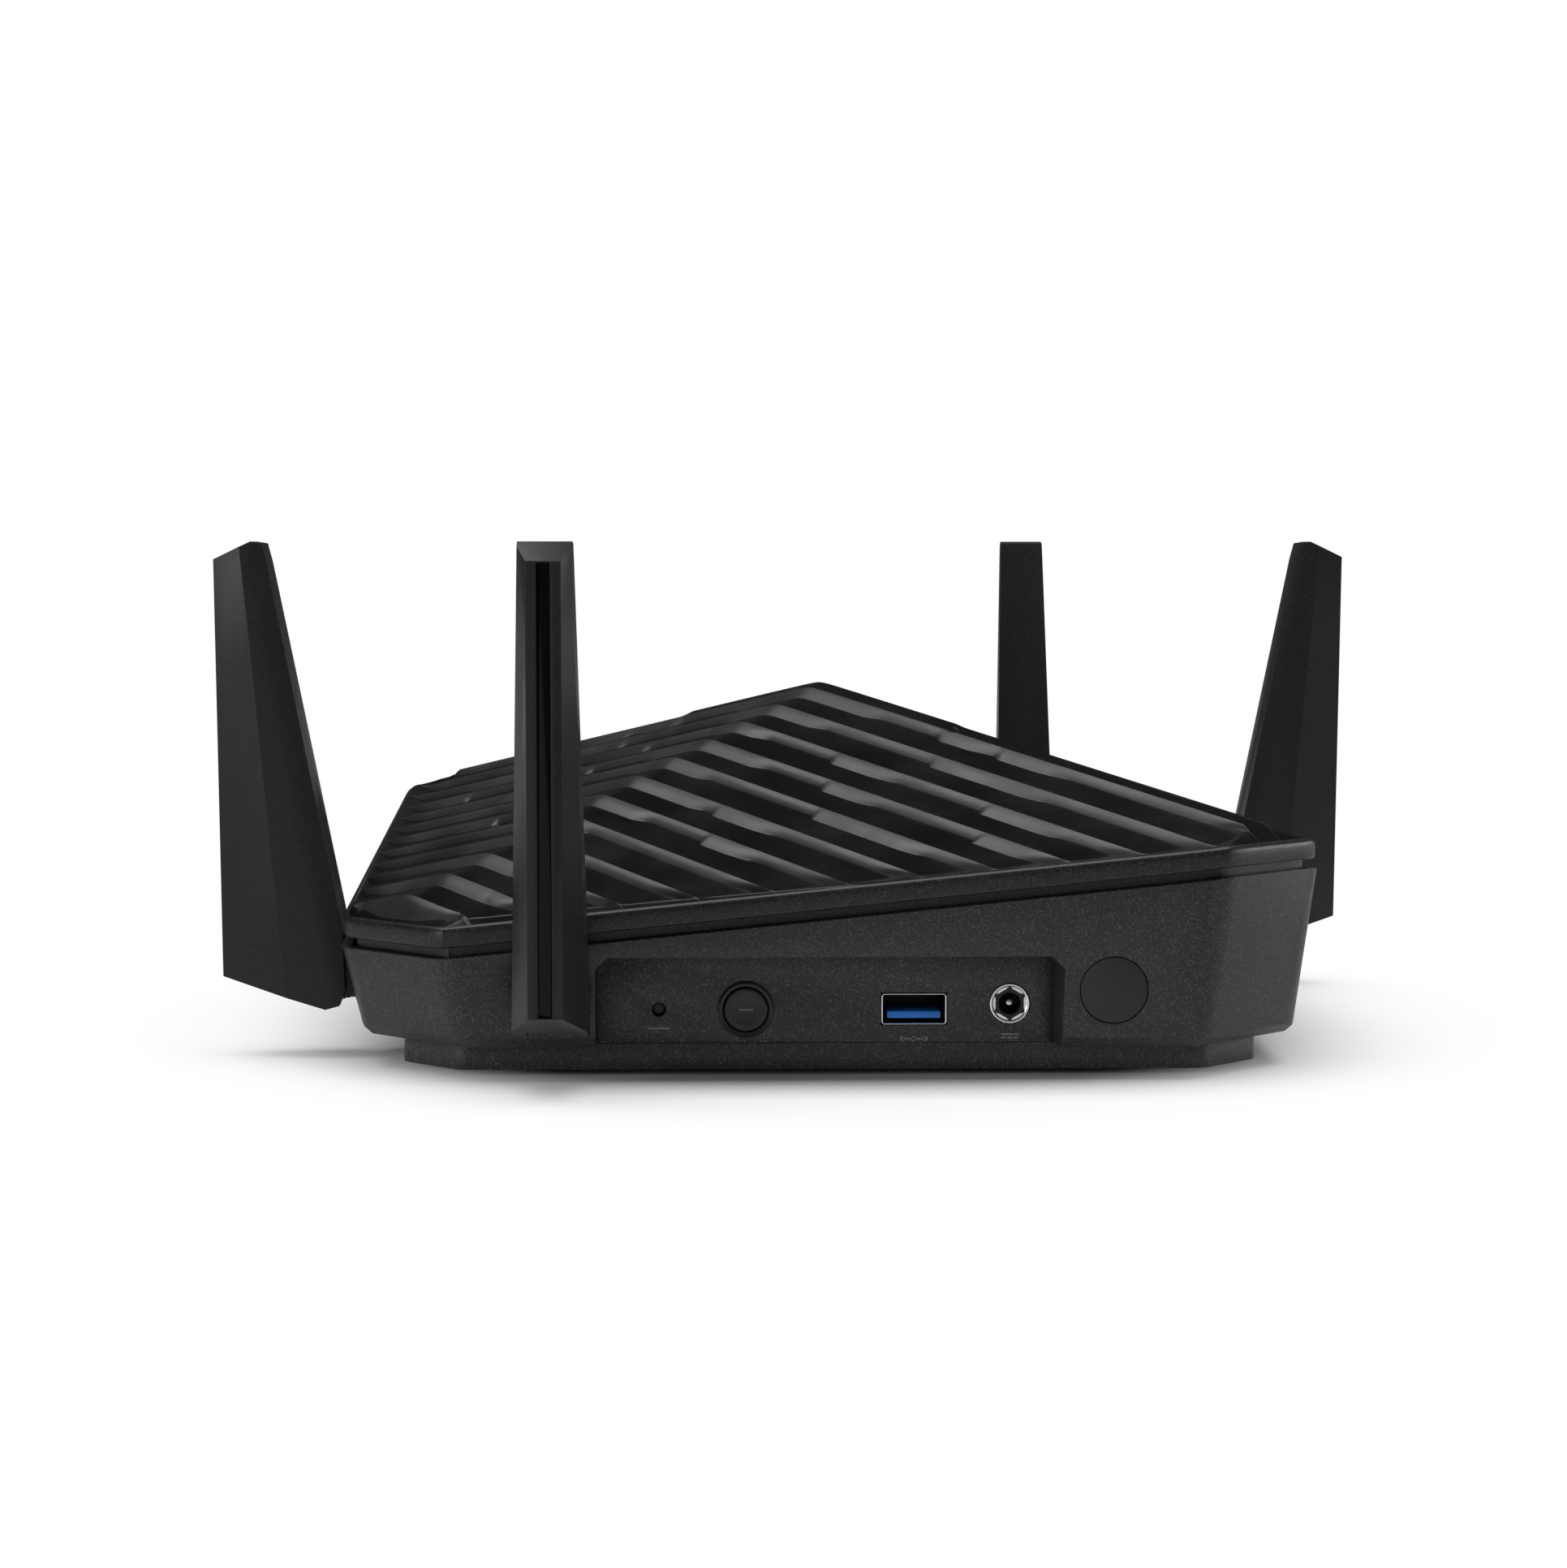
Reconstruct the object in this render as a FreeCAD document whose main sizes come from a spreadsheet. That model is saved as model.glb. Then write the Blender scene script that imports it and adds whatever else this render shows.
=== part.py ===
import FreeCAD, Part
import math
import os

import Sketcher
from FreeCAD import Placement, Rotation, Vector

# Wireless router with a square, chamfered, wedge-shaped body and four hinged blade antennas.
# Frame: origin on the table under the middle of the body, +X right, +Y away from the port side, +Z up.
# Sides are named front (-Y, ports), left (-X, network sockets), rear (+Y) and right (+X).

SIZES = {
    # body
    "shell_base": 6.8,
    "base_half": 98.1,
    "rim_half": 102.3,
    "shell_wall": 2.2,
    "shell_floor": 1.6,
    "corner_leg": 22.5,
    "corner_round": 8.0,
    "foot_round": 1.8,
    "rim_low": 31.6,
    "rim_high": 48.0,
    "rim_flat": 28.3,
    "rim_band": 4.0,
    "rim_gap": 2.0,
    "lip_inset": 3.2,
    "lip_wall": 1.4,
    "lip_drop": 9.0,
    "peak_height": 77.7,
    "ridge_slope": 0.46,
    "crest_slope": 0.286,
    "roof_wall": 2.4,
    # ribs of the cover
    "rib_count": 12,
    "rib_start": 95.1,
    "rib_pitch": 7.7175,
    "rib_width": 3.6,
    "rib_rise": 1.8,
    "rib_border": 5.0,
    # bottom plate, feet and screws
    "plate_half": 89.6,
    "plate_leg": 12.6,
    "plate_round": 4.0,
    "plate_low": 1.2,
    "plate_thick": 2.0,
    "plate_wall": 2.0,
    "step_half": 82.0,
    "step_low": 0.6,
    "foot_radius": 8.0,
    "foot_place": 62.0,
    "floor_opening": 83.5,
    "floor_opening_leg": 26.0,
    "screw_place": 76.5,
    "screw_radius": 1.5,
    "screw_head": 2.8,
    "screw_head_rise": 1.8,
    "screw_length": 12.0,
    "post_place": 58.0,
    "post_radius": 3.5,
    "post_rise": 10.0,
    "fit_gap": 0.05,
    # port recess, the same on the front and the left side
    "recess_start": -48.6,
    "recess_end": 47.0,
    "recess_slant": 1.5,
    "recess_frame": 1.8,
    "recess_top": 25.9,
    "recess_cut": 2.6,
    "panel_thick": 2.0,
    # main board
    "board_half": 83.0,
    "board_leg": 26.0,
    "board_low": 8.5,
    "board_thick": 1.6,
    "board_hole": 1.25,
    "board_screw": 1.2,
    "board_screw_length": 6.4,
    "board_screw_head": 2.6,
    "board_screw_rise": 1.6,
    # cans, pad and heat sink on the board
    "can_rise": 2.6,
    "can_main_side": 46.0,
    "can_main_x": -23.0,
    "can_main_y": -18.0,
    "can_radio_width": 52.0,
    "can_radio_depth": 24.0,
    "can_radio_x": -26.0,
    "can_radio_y": 40.0,
    "pad_side": 34.0,
    "pad_rise": 1.0,
    "pad_x": -17.0,
    "pad_y": -12.0,
    "sink_side": 78.0,
    "sink_base": 3.0,
    "sink_x": -39.0,
    "sink_y": -34.0,
    "fin_count": 12,
    "fin_pitch": 6.8,
    "fin_thick": 1.4,
    "fin_rise": 14.0,
    # ports of the front side
    "reset_place": -35.8,
    "reset_radius": 1.25,
    "button_place": -17.85,
    "button_radius": 4.6,
    "button_collar": 5.6,
    "collar_depth": 2.4,
    "key_gap": 0.25,
    "stem_radius": 1.5,
    "switch_side": 6.0,
    "switch_depth": 4.0,
    "port_height": 13.7,
    "usb_place": 16.9,
    "usb_width": 13.6,
    "usb_rise": 6.6,
    "usb_depth": 17.5,
    "usb_wall": 0.5,
    "tongue_width": 11.1,
    "tongue_rise": 1.8,
    "jack_place": 36.7,
    "jack_height": 14.8,
    "jack_radius": 4.2,
    "jack_bore": 3.1,
    "jack_pin": 1.05,
    "jack_box_side": 9.6,
    "jack_box_rise": 9.4,
    # network sockets of the left side
    "socket_pitch": 15.0,
    "socket_rise": 13.0,
    "socket_depth": 20.0,
    "socket_mouth_width": 11.8,
    "socket_mouth_rise": 8.2,
    "socket_mouth_depth": 15.0,
    "socket_lift": 3.4,
    "latch_width": 6.0,
    "latch_rise": 3.0,
    "latch_lift": 1.0,
    "gang_place": 4.5,
    "wan_place": -37.0,
    # antenna mounts
    "mount_offset": 57.2,
    "pivot_height": 18.8,
    "hinge_reach": 107.0,
    "shaft_radius": 7.0,
    "shaft_gap": 0.06,
    "shaft_start": 95.2,
    "shaft_end": 101.4,
    "boss_radius": 10.0,
    "boss_start": 95.4,
    "boss_end": 104.0,
    "bore_start": 85.0,
    "bore_end": 110.0,
    "nut_gap": 0.2,
    "spigot_radius": 5.2,
    "spigot_start": 92.2,
    "nut_radius": 7.6,
    "lead_bore": 2.2,
    "arm_half": 4.4,
    "arm_radius": 6.2,
    "hinge_pin": 1.5,
    "hinge_pin_half": 6.6,
    "slot_half": 4.7,
    "cap_radius": 6.95,
    "lead_radius": 0.7,
    "lead_plug": 1.6,
    "lead_plug_rise": 1.9,
    "lead_end": 97.0,
    "lead_inner": 80.0,
    "lead_turn": 3.6,
    # antenna blade, distances outward from the middle of the body and heights above the table
    "blade_front_high": 130.8,
    "blade_front_low": 129.6,
    "blade_top_outer": 106.2,
    "blade_top_inner": 110.1,
    "blade_low_outer": 17.2,
    "blade_low_inner": 10.4,
    "blade_flat_half": 3.45,
    "blade_crease_high": 5.35,
    "blade_crease_low": 7.5,
    "blade_back_high": 5.5,
    "blade_back_low": 7.9,
    "blade_crease_out_high": 125.1,
    "blade_crease_out_low": 115.4,
    "blade_back_out_high": 118.2,
    "blade_back_out_low": 99.6,
    "blade_shoulder_out": 122.6,
    "blade_tip_out": 120.2,
    "blade_neck_out": 119.2,
    "blade_back_out": 103.6,
    "blade_heel_out": 103.1,
    "blade_toe_out": 104.4,
    "blade_foot_out": 107.4,
    "strip_half": 1.35,
    "strip_sink": 1.2,
    "strip_depth": 2.2,
    "strip_low": 17.4,
    "strip_high": 106.0,
}

doc = FreeCAD.newDocument("Router")
sheet = doc.addObject("Spreadsheet::Sheet", "Sizes")
for row, (alias, number) in enumerate(SIZES.items(), start=1):
    sheet.set("A%d" % row, alias)
    sheet.set("B%d" % row, str(number))
    sheet.setAlias("B%d" % row, alias)
doc.recompute()

pieces = []
ROOT_HALF = math.sqrt(0.5)
SIDES = {"front": 0.0, "right": 90.0, "rear": 180.0, "left": -90.0}
# On each side, the antenna's place along the side seen from outside, left negative.
ANTENNA_PLACE = {"front": -1, "right": 1, "rear": -1, "left": 1}


def size(alias):
    """The value of one cell of the sheet."""
    return float(sheet.get(alias))


def keep(item, label):
    """Names a finished sub-part and puts it on the list to write."""
    item.Label = label
    pieces.append(item)
    return item


def feature(label, shape):
    """A sub-part whose shape is made with Part's own functions."""
    item = doc.addObject("Part::Feature", label)
    item.Shape = shape.removeSplitter()
    item.Placement = Placement()
    return keep(item, label)


def bind(item, **expressions):
    """Binds properties of an object to cells; place_x means Placement.Base.x."""
    for key, expression in expressions.items():
        path = ".Placement.Base." + key[-1] if key.startswith("place_") else key
        item.setExpression(path, expression)
    return item


def padded_body(label, half, leg, depth, low):
    """A square plate with chamfered corners as a body: a sketch, a pad and a chamfer."""
    body = doc.addObject("PartDesign::Body", label)
    plane = next(f for f in body.Origin.OriginFeatures if f.Role == "XY_Plane")
    sketch = body.newObject("Sketcher::SketchObject", label + "_outline")
    sketch.AttachmentSupport = [(plane, "")]
    sketch.MapMode = "FlatFace"
    corners = [Vector(-1, -1, 0), Vector(1, -1, 0), Vector(1, 1, 0), Vector(-1, 1, 0)]
    for start, end in zip(corners, corners[1:] + corners[:1]):
        sketch.addGeometry(Part.LineSegment(start * 10, end * 10), False)
    for line in range(4):
        sketch.addConstraint(Sketcher.Constraint("Coincident", line, 2, (line + 1) % 4, 1))
    for line in (0, 2):
        sketch.addConstraint(Sketcher.Constraint("Horizontal", line))
        sketch.addConstraint(Sketcher.Constraint("Vertical", line + 1))
    sketch.addConstraint(Sketcher.Constraint("Symmetric", 0, 1, 2, 1, -1, 1))
    for name, kind, line in (("width", "DistanceX", 0), ("height", "DistanceY", 1)):
        index = sketch.addConstraint(Sketcher.Constraint(kind, line, 1, line, 2, 20.0))
        sketch.renameConstraint(index, name)
        sketch.setExpression("Constraints." + name, "2 * Sizes." + half)
    pad = body.newObject("PartDesign::Pad", label + "_pad")
    pad.Profile = sketch
    bind(pad, Length="Sizes." + depth)
    doc.recompute()
    upright = [
        "Edge%d" % (number + 1)
        for number, edge in enumerate(pad.Shape.Edges)
        if abs(edge.tangentAt(edge.FirstParameter).z) > 0.99
    ]
    chamfer = body.newObject("PartDesign::Chamfer", label + "_corners")
    chamfer.Base = (pad, upright)
    bind(chamfer, Size="Sizes." + leg)
    bind(body, place_z="Sizes." + low)
    doc.recompute()
    return body


def boolean(kind, label, base, tool):
    """A Part boolean, such as Cut, of two document objects."""
    item = doc.addObject("Part::" + kind, label)
    item.Base = base
    item.Tool = tool
    return item


def fused(label, items):
    """One object joining several."""
    item = doc.addObject("Part::MultiFuse", label)
    item.Shapes = items
    return item


def block(label, length, width, height, x, y, z):
    """A Part::Box bound to expressions for its sizes and its low corner."""
    item = doc.addObject("Part::Box", label)
    bind(item, Length=length, Width=width, Height=height, place_x=x, place_y=y, place_z=z)
    return item


def rod(label, radius, height, x, y, z, axis=Vector(0, 0, 1)):
    """A Part::Cylinder bound to expressions, standing on (x, y, z) along axis."""
    item = doc.addObject("Part::Cylinder", label)
    item.Placement = Placement(Vector(0, 0, 0), Rotation(Vector(0, 0, 1), axis))
    bind(item, Radius=radius, Height=height, place_x=x, place_y=y, place_z=z)
    return item


def octagon_points(half, leg, level):
    """The corners of a square with its own corners cut off, at one height."""
    near = half - leg
    points = [
        Vector(-near, -half, level), Vector(near, -half, level),
        Vector(half, -near, level), Vector(half, near, level),
        Vector(near, half, level), Vector(-near, half, level),
        Vector(-half, near, level), Vector(-half, -near, level),
    ]
    return points


def skewed_points(low_half, high_half, leg, level):
    """The same corners, wider where the rim is low (front left, rear right) than where it is high."""
    low, high = (octagon_points(half, leg, level) for half in (low_half, high_half))
    return [low[0], high[1], high[2], low[3], low[4], high[5], high[6], low[7]]


def octagon(half, leg, level):
    """The same outline as a closed wire."""
    points = octagon_points(half, leg, level)
    return Part.makePolygon(points + points[:1])


def flat_sided(lower, upper):
    """A solid between two outlines whose sides are all flat."""
    faces = [Part.Face(Part.makePolygon(ring + ring[:1])) for ring in (lower, upper)]
    for i in range(len(lower)):
        j = (i + 1) % len(lower)
        faces.append(Part.Face(Part.makePolygon([lower[i], lower[j], upper[j], upper[i], lower[i]])))
    solid = Part.makeSolid(Part.makeShell(faces))
    if solid.Volume < 0:
        solid.reverse()
    return solid


def rounded_ring(points, radius):
    """A closed wire through the corners of an octagon, each rounded by an arc."""
    reach = radius * math.tan(math.radians(22.5))
    dip = radius * (1 / math.cos(math.radians(22.5)) - 1)
    edges = []
    ends = []
    for i, corner in enumerate(points):
        back = (points[i - 1] - corner).normalize()
        onward = (points[(i + 1) % len(points)] - corner).normalize()
        inward = (back + onward).normalize()
        ends.append((corner + back * reach, corner + inward * dip, corner + onward * reach))
    for i, (start, middle, end) in enumerate(ends):
        edges.append(Part.Arc(start, middle, end).toShape())
        edges.append(Part.LineSegment(end, ends[(i + 1) % len(ends)][0]).toShape())
    return Part.Wire(edges)


def tapered(inset, low, high, radius=0.0):
    """The wall's flaring outline, moved inwards: every wall runs from the base to the rim's own height."""
    base, drop = size("shell_base"), size("rim_band") + size("rim_gap")
    flare = size("rim_half") - size("base_half")
    leg = size("corner_leg") - inset * (2 - math.sqrt(2))
    rings = []
    for level in (low, high):
        halves = [
            size("base_half") - inset + flare * (level - base) / (size(rim) - drop - base)
            for rim in ("rim_low", "rim_high")
        ]
        points = skewed_points(halves[0], halves[1], leg, level)
        rings.append(rounded_ring(points, radius) if radius else Part.makePolygon(points + points[:1]))
    return Part.makeLoft(rings, True, True)


def plumb(inset, low, high, radius=0.0):
    """The rim's outline, moved inwards, with upright walls between two heights."""
    leg = size("corner_leg") - inset * (2 - math.sqrt(2))
    points = octagon_points(size("rim_half") - inset, leg, low)
    ring = rounded_ring(points, radius) if radius else Part.makePolygon(points + points[:1])
    return Part.Face(ring).extrude(Vector(0, 0, high - low))


def foot_bevel(depth):
    """A flaring solid that bevels the lower edge of the housing."""
    rise = 60.0
    half, leg, base = size("base_half") - depth, size("corner_leg") - 0.6 * depth, size("shell_base")
    upper = octagon_points(half + rise, leg + 0.6 * rise, base + rise)
    return flat_sided(octagon_points(half, leg, base), upper)


def diagonal_prism(outline, turn):
    """A prism with an outline in (diagonal distance, height), along the other diagonal."""
    reach = 200.0
    points = [Vector(across, -reach, level) for across, level in outline]
    face = Part.Face(Part.makePolygon(points + points[:1]))
    solid = face.extrude(Vector(0, 2 * reach, 0))
    solid.rotate(Vector(0, 0, 0), Vector(0, 0, 1), turn)
    return solid


def under_rim(drop):
    """Everything below the rim's top edge, lowered by drop: two slopes and a flat middle."""
    flat = size("rim_flat") / 2
    corner = (2 * size("rim_half") - size("corner_leg")) * ROOT_HALF
    slope = (size("rim_high") - size("rim_low")) / (corner - flat)
    far = 160.0
    edge = size("rim_high") - slope * (far - flat) - drop
    top = size("rim_high") - drop
    return diagonal_prism([(-far, -5), (far, -5), (far, edge), (flat, top), (-flat, top), (-far, edge)], 45)


def pyramid(drop):
    """The four-sided roof, lowered by drop, as a solid down to below the table."""
    reach = 125.0
    peak = Vector(0, 0, size("peak_height") - drop)
    low = peak.z - size("ridge_slope") * reach
    high = peak.z - size("crest_slope") * reach
    base = -5.0
    tops = [
        Vector(-reach, -reach, low), Vector(reach, -reach, high),
        Vector(reach, reach, low), Vector(-reach, reach, high),
    ]
    feet = [Vector(p.x, p.y, base) for p in tops]
    faces = [Part.Face(Part.makePolygon(feet + feet[:1]))]
    for i in range(4):
        j = (i + 1) % 4
        faces.append(Part.Face(Part.makePolygon([tops[i], tops[j], peak, tops[i]])))
        faces.append(Part.Face(Part.makePolygon([feet[i], feet[j], tops[j], tops[i], feet[i]])))
    return Part.makeSolid(Part.makeShell(faces))


def corner_bevels():
    """Slopes that cut the roof back above the rim at the four corners."""
    lean = 60.0
    corner = (2 * size("rim_half") - size("corner_leg")) * ROOT_HALF - 1.0
    halves = []
    for rim, turn in ((size("rim_low"), 45), (size("rim_high"), -45)):
        foot = rim + 0.6
        halves.append(diagonal_prism([
            (-corner, -5), (corner, -5), (corner, foot), (corner - lean, foot + lean),
            (lean - corner, foot + lean), (-corner, foot),
        ], turn))
    return halves[0].common(halves[1])


def around(shape, side):
    """A copy of a shape made for the front side, turned to another side."""
    copy = shape.copy()
    copy.rotate(Vector(0, 0, 0), Vector(0, 0, 1), SIDES[side])
    return copy


def mirrored_to_left(shape):
    """A copy of a front-side shape, mirrored over the diagonal to the left side."""
    return shape.mirror(Vector(0, 0, 0), Vector(1, -1, 0))


def mount_axis(side, start, end, radius, sign=None):
    """A cylinder about an antenna's swivel axis, from start to end outward of the middle."""
    place = (ANTENNA_PLACE[side] if sign is None else sign) * size("mount_offset")
    base = Vector(place, -start, size("pivot_height"))
    return around(Part.makeCylinder(radius, end - start, base, Vector(0, -1, 0)), side)


# Every round hole for an antenna or a blanking cap, as (side, place along the side).
SOCKETS = [(side, ANTENNA_PLACE[side]) for side in SIDES] + [("front", 1), ("left", -1)]


def recess_outline(level, right, grow=0.0):
    """The port recess's outline at one depth, with cut upper corners; grow widens it."""
    start, cut = size("recess_start") - grow, size("recess_cut") + 0.4 * grow
    low, top = size("shell_base") - 1, size("recess_top") + grow
    right += grow
    return [
        Vector(start, level, low), Vector(right, level, low), Vector(right, level, top - cut),
        Vector(right - cut, level, top), Vector(start + cut, level, top), Vector(start, level, top - cut),
    ]


def recess_space(grow, back):
    """The front port recess from a depth outwards: straight at one end, slanted at the other."""
    outer = -115.0
    floor_end = size("recess_end") - size("recess_slant")
    lean = size("recess_slant") / (size("rim_half") - size("plate_half") - 2.5)

    def right(level):
        """The slanted end's place at one depth."""
        return floor_end + (-size("plate_half") - level) * lean

    return flat_sided(recess_outline(back, right(back), grow), recess_outline(outer, right(outer), grow))


def panel_plate(clearance, thick):
    """The plate that fills the recess's floor, with its front face on the recess's floor."""
    front = -size("plate_half")
    floor_end = size("recess_end") - size("recess_slant")
    front_ring = recess_outline(front, floor_end, -clearance)
    back_ring = recess_outline(front + thick, floor_end, -clearance)
    plate = flat_sided(front_ring, back_ring)
    return plate.common(Part.makeBox(400, 400, 100, Vector(-200, -200, size("shell_base"))))


def make_housing():
    """The middle shell: drafted walls, a floor ring, socket bosses and two port recesses."""
    drop = size("rim_band") + size("rim_gap")
    wall, base, floor = size("shell_wall"), size("shell_base"), size("shell_floor")
    outer = tapered(0, base, 60, size("corner_round")).common(under_rim(drop))
    outer = outer.common(foot_bevel(size("foot_round")))
    inner = tapered(wall, base + floor, 70)
    shell = outer.cut(inner)
    opening = Part.Face(octagon(size("floor_opening"), size("floor_opening_leg"), base - 1))
    opening = opening.extrude(Vector(0, 0, floor + 2))
    shell = shell.cut(opening)
    for side, sign in SOCKETS:
        boss = mount_axis(side, size("boss_start"), size("boss_end"), size("boss_radius"), sign)
        shell = shell.fuse(boss.common(outer))
    for x_sign in (-1, 1):
        for y_sign in (-1, 1):
            spot = Vector(x_sign * size("screw_place"), y_sign * size("screw_place"), base)
            shell = shell.fuse(Part.makeCylinder(size("post_radius"), size("post_rise"), spot))
            shell = shell.cut(Part.makeCylinder(size("screw_radius") + 0.03, 9.0, spot - Vector(0, 0, 1)))
    frame = recess_space(size("recess_frame"), size("panel_thick") - size("plate_half")).common(outer)
    recess = recess_space(0, -size("plate_half")).fuse(panel_plate(0, 4.0))
    shell = shell.fuse(frame).cut(recess)
    shell = shell.fuse(mirrored_to_left(frame)).cut(mirrored_to_left(recess))
    for side, sign in SOCKETS:
        radius = size("shaft_radius") + size("shaft_gap")
        shell = shell.cut(mount_axis(side, size("bore_start"), size("bore_end"), radius, sign))
        room = size("nut_radius") + size("nut_gap")
        shell = shell.cut(mount_axis(side, size("bore_start"), size("boss_start") - 0.02, room, sign))
    return feature("housing", shell)


def rib_slabs():
    """Upright slabs over the whole roof, one for each rib, and a frame along the rim."""
    slabs = []
    for number in range(1, int(size("rib_count")) + 1):
        edge = (size("rib_start") - size("rib_pitch") * number) * math.sqrt(2)
        for sign in (-1, 1):
            start = sign * edge if sign > 0 else -edge - size("rib_width")
            slab = Part.makeBox(size("rib_width"), 400, 120, Vector(start, -200, -5))
            slab.rotate(Vector(0, 0, 0), Vector(0, 0, 1), 45)
            slabs.append(slab)
    return slabs


def make_cover():
    """The ribbed top cover: a hollow four-sided roof, its rim band and a locating lip."""
    full = plumb(0, 20, 90, size("corner_round"))
    roof = pyramid(0).common(corner_bevels())
    border = full.cut(plumb(size("rib_border"), 10, 100))
    high = roof.common(border.multiFuse(rib_slabs()))
    body = full.common(pyramid(size("rib_rise")).common(roof).fuse(high))
    body = body.cut(under_rim(size("rim_band")))
    skirt = full.cut(plumb(size("shell_wall"), 10, 100))
    hollow = plumb(size("shell_wall"), 10, 100).common(pyramid(size("rib_rise") + size("roof_wall")))
    shell = body.cut(hollow)
    lip = plumb(size("lip_inset"), 15, 90).cut(plumb(size("lip_inset") + size("lip_wall"), 10, 100))
    lip = lip.common(under_rim(size("rim_band") - 1)).cut(under_rim(size("lip_drop")))
    flange = skirt.fuse(plumb(size("shell_wall") - 0.5, 15, 90).cut(
        plumb(size("lip_inset") + size("lip_wall"), 10, 100)))
    flange = flange.common(under_rim(size("rim_band") - 1.5)).cut(under_rim(size("rim_band")))
    shell = shell.multiFuse([lip, flange])
    for side, sign in SOCKETS:
        room = size("boss_radius") + 0.5
        shell = shell.cut(mount_axis(side, size("bore_start") - 5, size("bore_end"), room, sign))
    room = recess_space(size("recess_frame") + 0.4, size("panel_thick") - size("plate_half") + 0.5)
    shell = shell.cut(room).cut(mirrored_to_left(room))
    return feature("top_cover", shell)


def make_bottom_plate():
    """The plinth: a shallow tray with a lower step, board posts and screw counterbores."""
    low, thick = size("plate_low"), size("plate_thick")
    height = size("shell_base") - low - 0.05
    outline = rounded_ring(octagon_points(size("plate_half"), size("plate_leg"), low), size("plate_round"))
    tray = Part.Face(outline).extrude(Vector(0, 0, height))
    room = size("plate_half") - size("plate_wall")
    hollow = Part.Face(octagon(room, size("plate_leg") - 1.2, low + thick)).extrude(Vector(0, 0, height))
    step = Part.Face(octagon(size("step_half"), size("plate_leg") - 1, size("step_low")))
    tray = tray.cut(hollow).fuse(step.extrude(Vector(0, 0, low + thick - size("step_low"))))
    for x_sign in (-1, 1):
        for y_sign in (-1, 1):
            post = Vector(x_sign * size("post_place"), y_sign * size("post_place"), low)
            tray = tray.fuse(Part.makeCylinder(size("post_radius"), size("board_low") - low, post))
            tray = tray.cut(Part.makeCylinder(1.22, 6.0, post + Vector(0, 0, 2.2)))
            spot = Vector(x_sign * size("screw_place"), y_sign * size("screw_place"), low)
            tray = tray.fuse(Part.makeCylinder(size("post_radius") + 1, height, spot))
            tray = tray.cut(Part.makeCylinder(size("screw_radius") + 0.03, 9.0, spot))
            head_room = size("screw_head_rise") + 2.0
            tray = tray.cut(Part.makeCylinder(size("screw_head") + 0.1, head_room, spot - Vector(0, 0, 1.8)))
            foot = Vector(x_sign * size("foot_place"), y_sign * size("foot_place"), -1)
            tray = tray.cut(Part.makeCylinder(size("foot_radius"), 1 + size("plate_low"), foot))
    return feature("bottom_plate", tray)


def make_feet_and_screws():
    """Four rubber feet, four screws through the plate and four that hold the board."""
    feet, base_screws, board_screws = [], [], []
    for x_sign in (-1, 1):
        for y_sign in (-1, 1):
            tag = "%d%d" % (x_sign > 0, y_sign > 0)
            place = {
                "x": "%d * Sizes.foot_place" % x_sign, "y": "%d * Sizes.foot_place" % y_sign, "z": "0"}
            feet.append(rod("foot_" + tag, "Sizes.foot_radius", "Sizes.plate_low", **place))
            x = "%d * Sizes.screw_place" % x_sign
            y = "%d * Sizes.screw_place" % y_sign
            low = "Sizes.plate_low"
            head = rod("base_head_" + tag, "Sizes.screw_head", "Sizes.screw_head_rise", x, y, low)
            shank = rod("base_shank_" + tag, "Sizes.screw_radius", "Sizes.screw_length", x, y, low)
            base_screws.append(fused("base_screw_" + tag, [head, shank]))
            x = "%d * Sizes.post_place" % x_sign
            y = "%d * Sizes.post_place" % y_sign
            top = "Sizes.board_low + Sizes.board_thick"
            head = rod("board_head_" + tag, "Sizes.board_screw_head", "Sizes.board_screw_rise", x, y, top)
            under = top + " - Sizes.board_screw_length + 0.4"
            shank = rod(
                "board_shank_" + tag, "Sizes.board_screw", "Sizes.board_screw_length", x, y, under)
            board_screws.append(fused("board_screw_" + tag, [head, shank]))
    groups = {"rubber_feet": feet, "base_screws": base_screws, "board_screws": board_screws}
    for label, group in groups.items():
        item = doc.addObject("Part::Compound", label)
        item.Links = group
        keep(item, label)


def make_board():
    """The main board: a chamfered plate with holes for its four screws."""
    plate = padded_body("board_plate", "board_half", "board_leg", "board_thick", "board_low")
    holes = []
    for x_sign in (-1, 1):
        for y_sign in (-1, 1):
            holes.append(rod(
                "board_hole_%d%d" % (x_sign > 0, y_sign > 0), "Sizes.board_hole", "4",
                "%d * Sizes.post_place" % x_sign, "%d * Sizes.post_place" % y_sign, "Sizes.board_low - 1"))
    return keep(boolean("Cut", "main_board_cut", plate, fused("board_holes", holes)), "main_board")


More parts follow.
